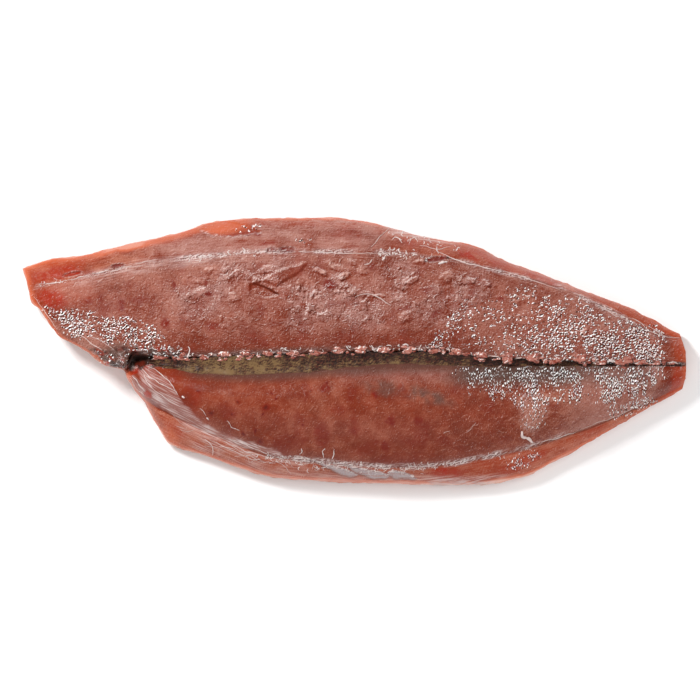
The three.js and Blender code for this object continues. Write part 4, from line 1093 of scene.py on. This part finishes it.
# Torn fibres and threads of fascia: white collagen, wet and slightly see-through, some greyer, some pink.
threadLook = {
    "white": "#e2d5d1", "dull": "#a58d86", "pink": "#bd8576",
    "ior": 1.38, "glow": 0.1, "glowRadius": (1.0, 0.6, 0.5), "glowScale": 0.001, "wet": 0.6, "wetRoughness": 0.12,
    "grainSize": 1.0,
}
threads = {
    "strands": [  # route, radius, whiteness
        ([(-104.4, 3.2), (-103.1, 0.6), (-103.7, -2.5), (-105.6, -5.7)], 0.6, 0.9),
        ([(10.8, 3.8), (12.6, 1.3), (14.5, -1.3)], 0.45, 0.6),
        ([(-5.7, -1.9), (-3.8, -3.8), (-1.3, -3.2), (1.3, -0.6)], 0.4, 0.7),
        ([(40.5, -1.3), (41.1, 1.3), (42.4, 3.8)], 0.5, 0.6),
        ([(51.9, -0.6), (56.9, -1.3), (61.4, -2.5), (65.8, -3.8)], 0.3, 1.0),
        ([(55, -2.5), (60.1, -3.8), (64.5, -4.4)], 0.3, 1.0),
        ([(58.8, -1.9), (60.1, 0), (58.8, 2.5)], 0.35, 0.7),
        ([(86, -3.8), (89.8, -3.2), (93, -5.1), (93.6, -7.6), (91.7, -10.1), (90.4, -11.4)], 0.55, 0.7),
        ([(99.3, -5.7), (102.5, -4.4), (105.6, -3.8)], 0.5, 0.6),
        ([(103.7, -5.7), (106.9, -7.6), (110.7, -7)], 0.3, 1.0),
        ([(113.2, -7.6), (117.6, -6.3), (122.1, -7), (125.9, -8.2)], 0.7, 0.8),
        ([(142.3, -8.2), (144.8, -6.3)], 0.5, 1.0), ([(158.1, -7), (161.3, -6.6), (163.8, -7)], 0.5, 1.0),
        ([(178.4, -8.5), (184.1, -7.9), (189.7, -7.6), (195.4, -7.9)], 0.3, 0.9),
        ([(198, -7), (201.1, -7), (204.9, -8.2)], 0.4, 0.8), ([(-29.1, -4.4), (-26.6, -1.9), (-24, -1.3)], 0.45, 0.9),
        ([(-15.2, -1.9), (-13.3, 0), (-10.8, 0.6)], 0.45, 0.9), ([(30.4, 3.8), (32.3, 4.1), (34.2, 3.5)], 0.5, 1.0),
        ([(-18.3, -61.4), (-19.6, -63.9), (-19.6, -67)], 0.3, 0.9),
        ([(-12.6, -61.4), (-12.6, -64.5), (-13.9, -68.3)], 0.3, 0.9),
        ([(70.8, -51.2), (73.4, -48.7), (76.5, -44.9)], 0.2, 0.2),
        ([(56.3, -51.9), (58.2, -50.6), (60.1, -50)], 0.2, 0.1),
        ([(-79.7, -43.6), (-77.8, -46.8), (-74.6, -49.3), (-72.1, -50)], 0.2, 0.7),
        ([(-96.8, -36.1), (-94.9, -37.9), (-93, -40.5)], 0.2, 0.8), ([(-108.2, -28.5), (-106.3, -29.7)], 0.5, 1.0),
        ([(-93, -41.7), (-91.7, -43)], 0.5, 1.0),
        ([(0.6, 34.2), (5.7, 35.4), (11.4, 35.4), (17.7, 32.3), (22.8, 28.5)], 0.35, 0.5),
        ([(24, 69.6), (25.9, 71.5), (28.5, 70.8), (30.4, 68.3)], 0.35, 0.9),
        ([(34.2, 67), (35.4, 70.2), (37.9, 71.5), (40.5, 68.9)], 0.35, 0.8),
        ([(52.5, 66.4), (51.9, 63.9), (53.1, 61.4)], 0.35, 0.7), ([(53.1, 55), (55.7, 56), (58.8, 56.3)], 0.7, 1.0),
        ([(11.4, 57.6), (8.9, 55), (6.3, 54.4)], 0.35, 0.6),
        ([(105.6, -50.6), (106.3, -53.8), (110.1, -55), (113.2, -58.2)], 0.95, 0.75),
    ],
    "seamLines": [
        ([(-195.4, 42.4), (-190, 42.9), (-184, 44.2)], 0.45, 0.9),
        ([(-181, 45), (-175, 46), (-168, 48)], 0.4, 0.7),
        ([(-165, 48.6), (-160.7, 49.3), (-154, 51)], 0.4, 0.8),
        ([(-150, 51.6), (-144.8, 53.1), (-140, 54)], 0.35, 0.6),
        ([(-138, 54.8), (-132.2, 56.3), (-124, 58)], 0.3, 0.5),
        ([(-37.9, 62.6), (-21.5, 62), (-2.5, 61.4), (16.4, 62)], 0.35, 0.7),
        ([(52.5, 62.6), (58.2, 60.1), (64.5, 57.6), (72.1, 55), (81, 53.1), (92.3, 50.6)], 0.45, 0.9),
        ([(92.3, 50.6), (105, 47.4), (117.6, 43), (130.3, 38.6)], 0.35, 0.7),
        ([(152.4, 28.5), (160, 25.3), (164.4, 22.8), (168.2, 21.5)], 0.35, 0.8),
        ([(175.8, 20.9), (180.9, 18.3), (186, 13.3)], 0.3, 0.7),
        ([(184.1, 13.3), (190.4, 10.8), (198.6, 8.9), (207, 8.2)], 0.35, 0.7),
        ([(186, 15.8), (191, 12.6), (196.1, 10.1)], 0.3, 0.8),
        ([(41.7, 67), (48.1, 65.1), (54.4, 64.5), (60.7, 65.8)], 0.3, 0.8),
        ([(22.8, 77.8), (16.4, 72.1), (10.8, 65.1)], 0.3, 0.6),
        ([(139.8, -50.6), (155.6, -44.9), (171.4, -38.6), (187.2, -30.4)], 0.3, 0.5),
        ([(117.6, -57.6), (127.8, -55), (139.8, -51.2)], 0.4, 0.8),
        ([(-91.1, -56.3), (-81, -60.7), (-70.2, -65.8), (-59.5, -70.2)], 0.3, 0.6),
        ([(-83.5, -56.3), (-72.1, -61.4), (-60.7, -67)], 0.3, 0.7),
        ([(-79.7, -55), (-65.8, -60.1), (-48.1, -67.7)], 0.3, 0.8),
        ([(-176.4, 11.4), (-170.8, 8.9), (-165.1, 4.4), (-158.1, 0.6)], 0.4, 0.6),
        ([(-167, 9.5), (-160, 7), (-155.6, 3.8), (-150.6, 0.6)], 0.3, 0.5),
        ([(-202.4, 34.8), (-195.4, 25.3), (-187.2, 13.3)], 0.3, 0.5),
        ([(-134.1, -9.5), (-129, -15.8), (-120.8, -20.9), (-111.3, -25.9)], 0.35, 0.9),
        ([(-130.9, -8.9), (-124, -12.6), (-116.4, -19), (-110.7, -27.8)], 0.35, 0.8),
        ([(-133.5, -12), (-129, -20.9), (-122.7, -26.6), (-115.1, -32.3)], 0.3, 0.8),
        ([(-139.8, -15.2), (-136, -20.2), (-130.9, -25.3)], 0.45, 0.9),
        ([(-141, -17.1), (-137.3, -23.4), (-131.6, -28.5)], 0.35, 0.8),
    ],
    # Loose curls scattered along a line: first and last x, line, offset, spread, how many, length, radius, white,
    # and how far they turn
    "curled": [
        (-56, 52, "bellySeam", -0.2, 1.4, 110, 3.0, 0.18, 1.0, 4.0),
        (50, 112, "bellySeam", 0.0, 0.8, 20, 2.6, 0.2, 0.8, 3.0),
        (-46, 45, "bellySeam", -3.0, 1.6, 20, 3.6, 0.17, 0.8, 3.0),
        (-105, -60, "backSeam", -0.6, 0.9, 34, 2.2, 0.26, 0.85, 2.0),
        (16, 50, "backSeam", -0.5, 1.2, 36, 2.2, 0.3, 1.0, 3.0),
        (-200, -176, "backSeam", 0.6, 0.8, 16, 1.6, 0.2, 0.8, 1.5),
        (-70, -20, "bellySeam", -3.5, 1.8, 14, 5.0, 0.18, 0.6, 2.0),
        (-112, -45, "bellySeam", -5.0, 2.0, 16, 12.0, 0.17, 0.4, 0.4),
        (-126, 200, "upperLip", 0.0, 1.4, 120, 2.8, 0.3, 0.9, 3.0),
        (20, 66, "backEdge", -3.6, 1.3, 24, 2.0, 0.26, 0.9, 3.0),
    ],
    "points": 15, "sides": 5, "lift": 0.1,
}


def wetFascia():
    look = threadLook
    material, shader, add = newMaterial("fishFasciaThreadWet", look)
    white = add("Attribute", out="Fac", attribute_name="white")
    grain = add("TexNoise", {"Vector": add("TexCoord", out="Object"), "Scale": 1000 / look["grainSize"],
                             "Detail": 2.0})
    spread = add("Math MULTIPLY_ADD", (grain, 0.9, -0.45))
    whiteHere = add("Math ADD", (white, spread), use_clamp=True)
    colour = look["dull"]
    for amount, tone in ((grain, "pink"), (whiteHere, "white")):
        colour = add("Mix", {0: amount, 6: colour, 7: look[tone]}, out=2, data_type="RGBA")
    fillInputs(shader, {"Base Color": colour, "Roughness": 0.35})
    return material


def routePoints(route, count):
    # Points along a smooth curve through a route's corners, even in the length of its chords.
    corner = np.array(route, float)
    length = np.append(0, np.cumsum(np.hypot(*np.diff(corner, axis=0).T)))
    t = np.linspace(0, length[-1], count)
    return np.stack([smoothLine(list(zip(length, corner[:, k])))(t) for k in (0, 1)], -1)


def curledRoutes(spec, count, seed):
    # Loose curls: each starts near the line and roughly along it, and its heading turns at a steady random rate.
    first, last, line, offset, spread, many, long, radius, white, turn = spec
    rng = np.random.default_rng(seed)
    x = rng.uniform(first, last, many)
    y = lineAt[line](x) + offset + rng.normal(0, spread, many)
    heading = rng.normal(0, 0.14 * turn, many) + np.where(rng.random(many) < 0.5, 0, np.pi)
    heading = heading + np.arctan2(lineAt[line](x + 1) - lineAt[line](x - 1), 2)
    step = long * rng.uniform(0.5, 1.4, many) / (count - 1)
    turning = rng.normal(0, turn, many) / (count - 1)
    angle = heading[:, None] + turning[:, None] * np.arange(count) + 0.1 * turn * rng.normal(
        0, 1, (many, count)).cumsum(1) / np.sqrt(count)
    dx, dy = np.cos(angle) * step[:, None], np.sin(angle) * step[:, None]
    points = np.stack([x[:, None] + dx.cumsum(1), y[:, None] + dy.cumsum(1)], -1)
    return points, radius * rng.uniform(0.6, 1.3, many), np.clip(white + rng.normal(0, 0.2, many), 0, 1)


def layThreads(name, routes, radii, whites, spec, material):
    # Tubes that lie on the flesh: a ring of points round each point of a route, thin at both ends.
    count, sides = routes.shape[1], spec["sides"]
    t = np.linspace(0, 1, count)
    routes = routes + 0.5 * np.stack([waver(routes[..., 0], routes[..., 1], 3.0, seed) for seed in (52, 53)], -1)
    girth = radii[:, None] * (0.3 + 0.7 * np.sin(np.pi * t).clip(0) ** 0.5)
    # It is beaded where it has shrunk and curled.
    girth = girth * (1 + 0.5 * waver(routes[..., 0], routes[..., 1], 1.1, 55))
    ground = fleshHeight(routes[..., 0], routes[..., 1])
    centre = np.concatenate([routes, (ground + spec["lift"] + girth * 0.3)[..., None]], -1)
    ahead = np.gradient(centre, axis=1)
    ahead /= np.linalg.norm(ahead, axis=-1, keepdims=True) + 1e-9
    sideways = np.cross(ahead, [0, 0, 1.0])
    sideways /= np.linalg.norm(sideways, axis=-1, keepdims=True) + 1e-9
    upwards = np.cross(sideways, ahead)
    turn = np.linspace(0, 2 * np.pi, sides, endpoint=False)[:, None]
    points = centre[:, :, None] + girth[:, :, None, None] * (
        np.cos(turn) * sideways[:, :, None] + np.sin(turn) * upwards[:, :, None])
    first = np.arange(len(routes)) * count * sides
    cap = np.arange(sides) + first[:, None]
    faces = ringFaces(count, sides, first) + cap.tolist() + (cap + (count - 1) * sides)[:, ::-1].tolist()
    return putMesh(name, points.reshape(-1, 3), faces, material, {"white": whites.repeat(count * sides)})


fascia = wetFascia()
for name, girth in (("strands", 1.0), ("seamLines", 0.7)):
    group = threads[name]
    layThreads(name, np.stack([routePoints(g[0], threads["points"]) for g in group]),
               girth * np.array([g[1] for g in group]), np.array([g[2] for g in group]) - 0.1, threads, fascia)
curlSets = [curledRoutes(spec, threads["points"], 300 + n) for n, spec in enumerate(threads["curled"])]
layThreads("curledFibres", *(np.concatenate([s[k] for s in curlSets]) for k in range(3)), threads, fascia)
print("threads laid")


studio = {
    "lens": 400.0, "frameWidth": 0.44275, "centre": (-0.0025, 0.0006), "planeHeight": 0.012,
    "floor": "#f9f9f9", "world": 0.38,
    "lamps": [  # place, size in m, power in W
        ("key", (-0.75, 0.7, 1.1), 0.3, 17.5), ("tailBox", (0.9, 0.3, 1.1), 0.8, 6.5),
        ("frontBox", (0.0, -1.3, 1.15), 1.4, 10.5),
    ],
}


def setStage():
    camera = bpy.data.cameras.new("camera")
    camera.lens = studio["lens"]
    camera.clip_end = 20
    eye = bpy.data.objects.new("camera", camera)
    distance = studio["lens"] / camera.sensor_width * studio["frameWidth"]
    eye.location = (*studio["centre"], studio["planeHeight"] + distance)
    bpy.context.scene.collection.objects.link(eye)
    bpy.context.scene.camera = eye

    bpy.ops.mesh.primitive_plane_add(size=12)
    floor = bpy.context.object
    floor.name = "floor"
    paint = bpy.data.materials.new("mattWhitePaper")
    paint.use_nodes = True
    fillInputs(paint.node_tree.nodes["Principled BSDF"], {"Base Color": studio["floor"], "Roughness": 0.9})
    floor.data.materials.append(paint)

    world = bpy.data.worlds.new("softRoom")
    world.use_nodes = True
    fillInputs(world.node_tree.nodes["Background"], {"Color": "#ffffff", "Strength": studio["world"]})
    bpy.context.scene.world = world

    for name, place, size, power in studio["lamps"]:
        light = bpy.data.lights.new(name, "AREA")
        light.energy, light.size = power, size
        lamp = bpy.data.objects.new(name, light)
        lamp.location = place
        lamp.rotation_mode = "QUATERNION"
        lamp.rotation_quaternion = lamp.location.to_track_quat("Z", "Y")
        lamp.visible_camera = False
        bpy.context.scene.collection.objects.link(lamp)
    bpy.context.scene.view_settings.view_transform = "Standard"


setStage()
print("stage set")
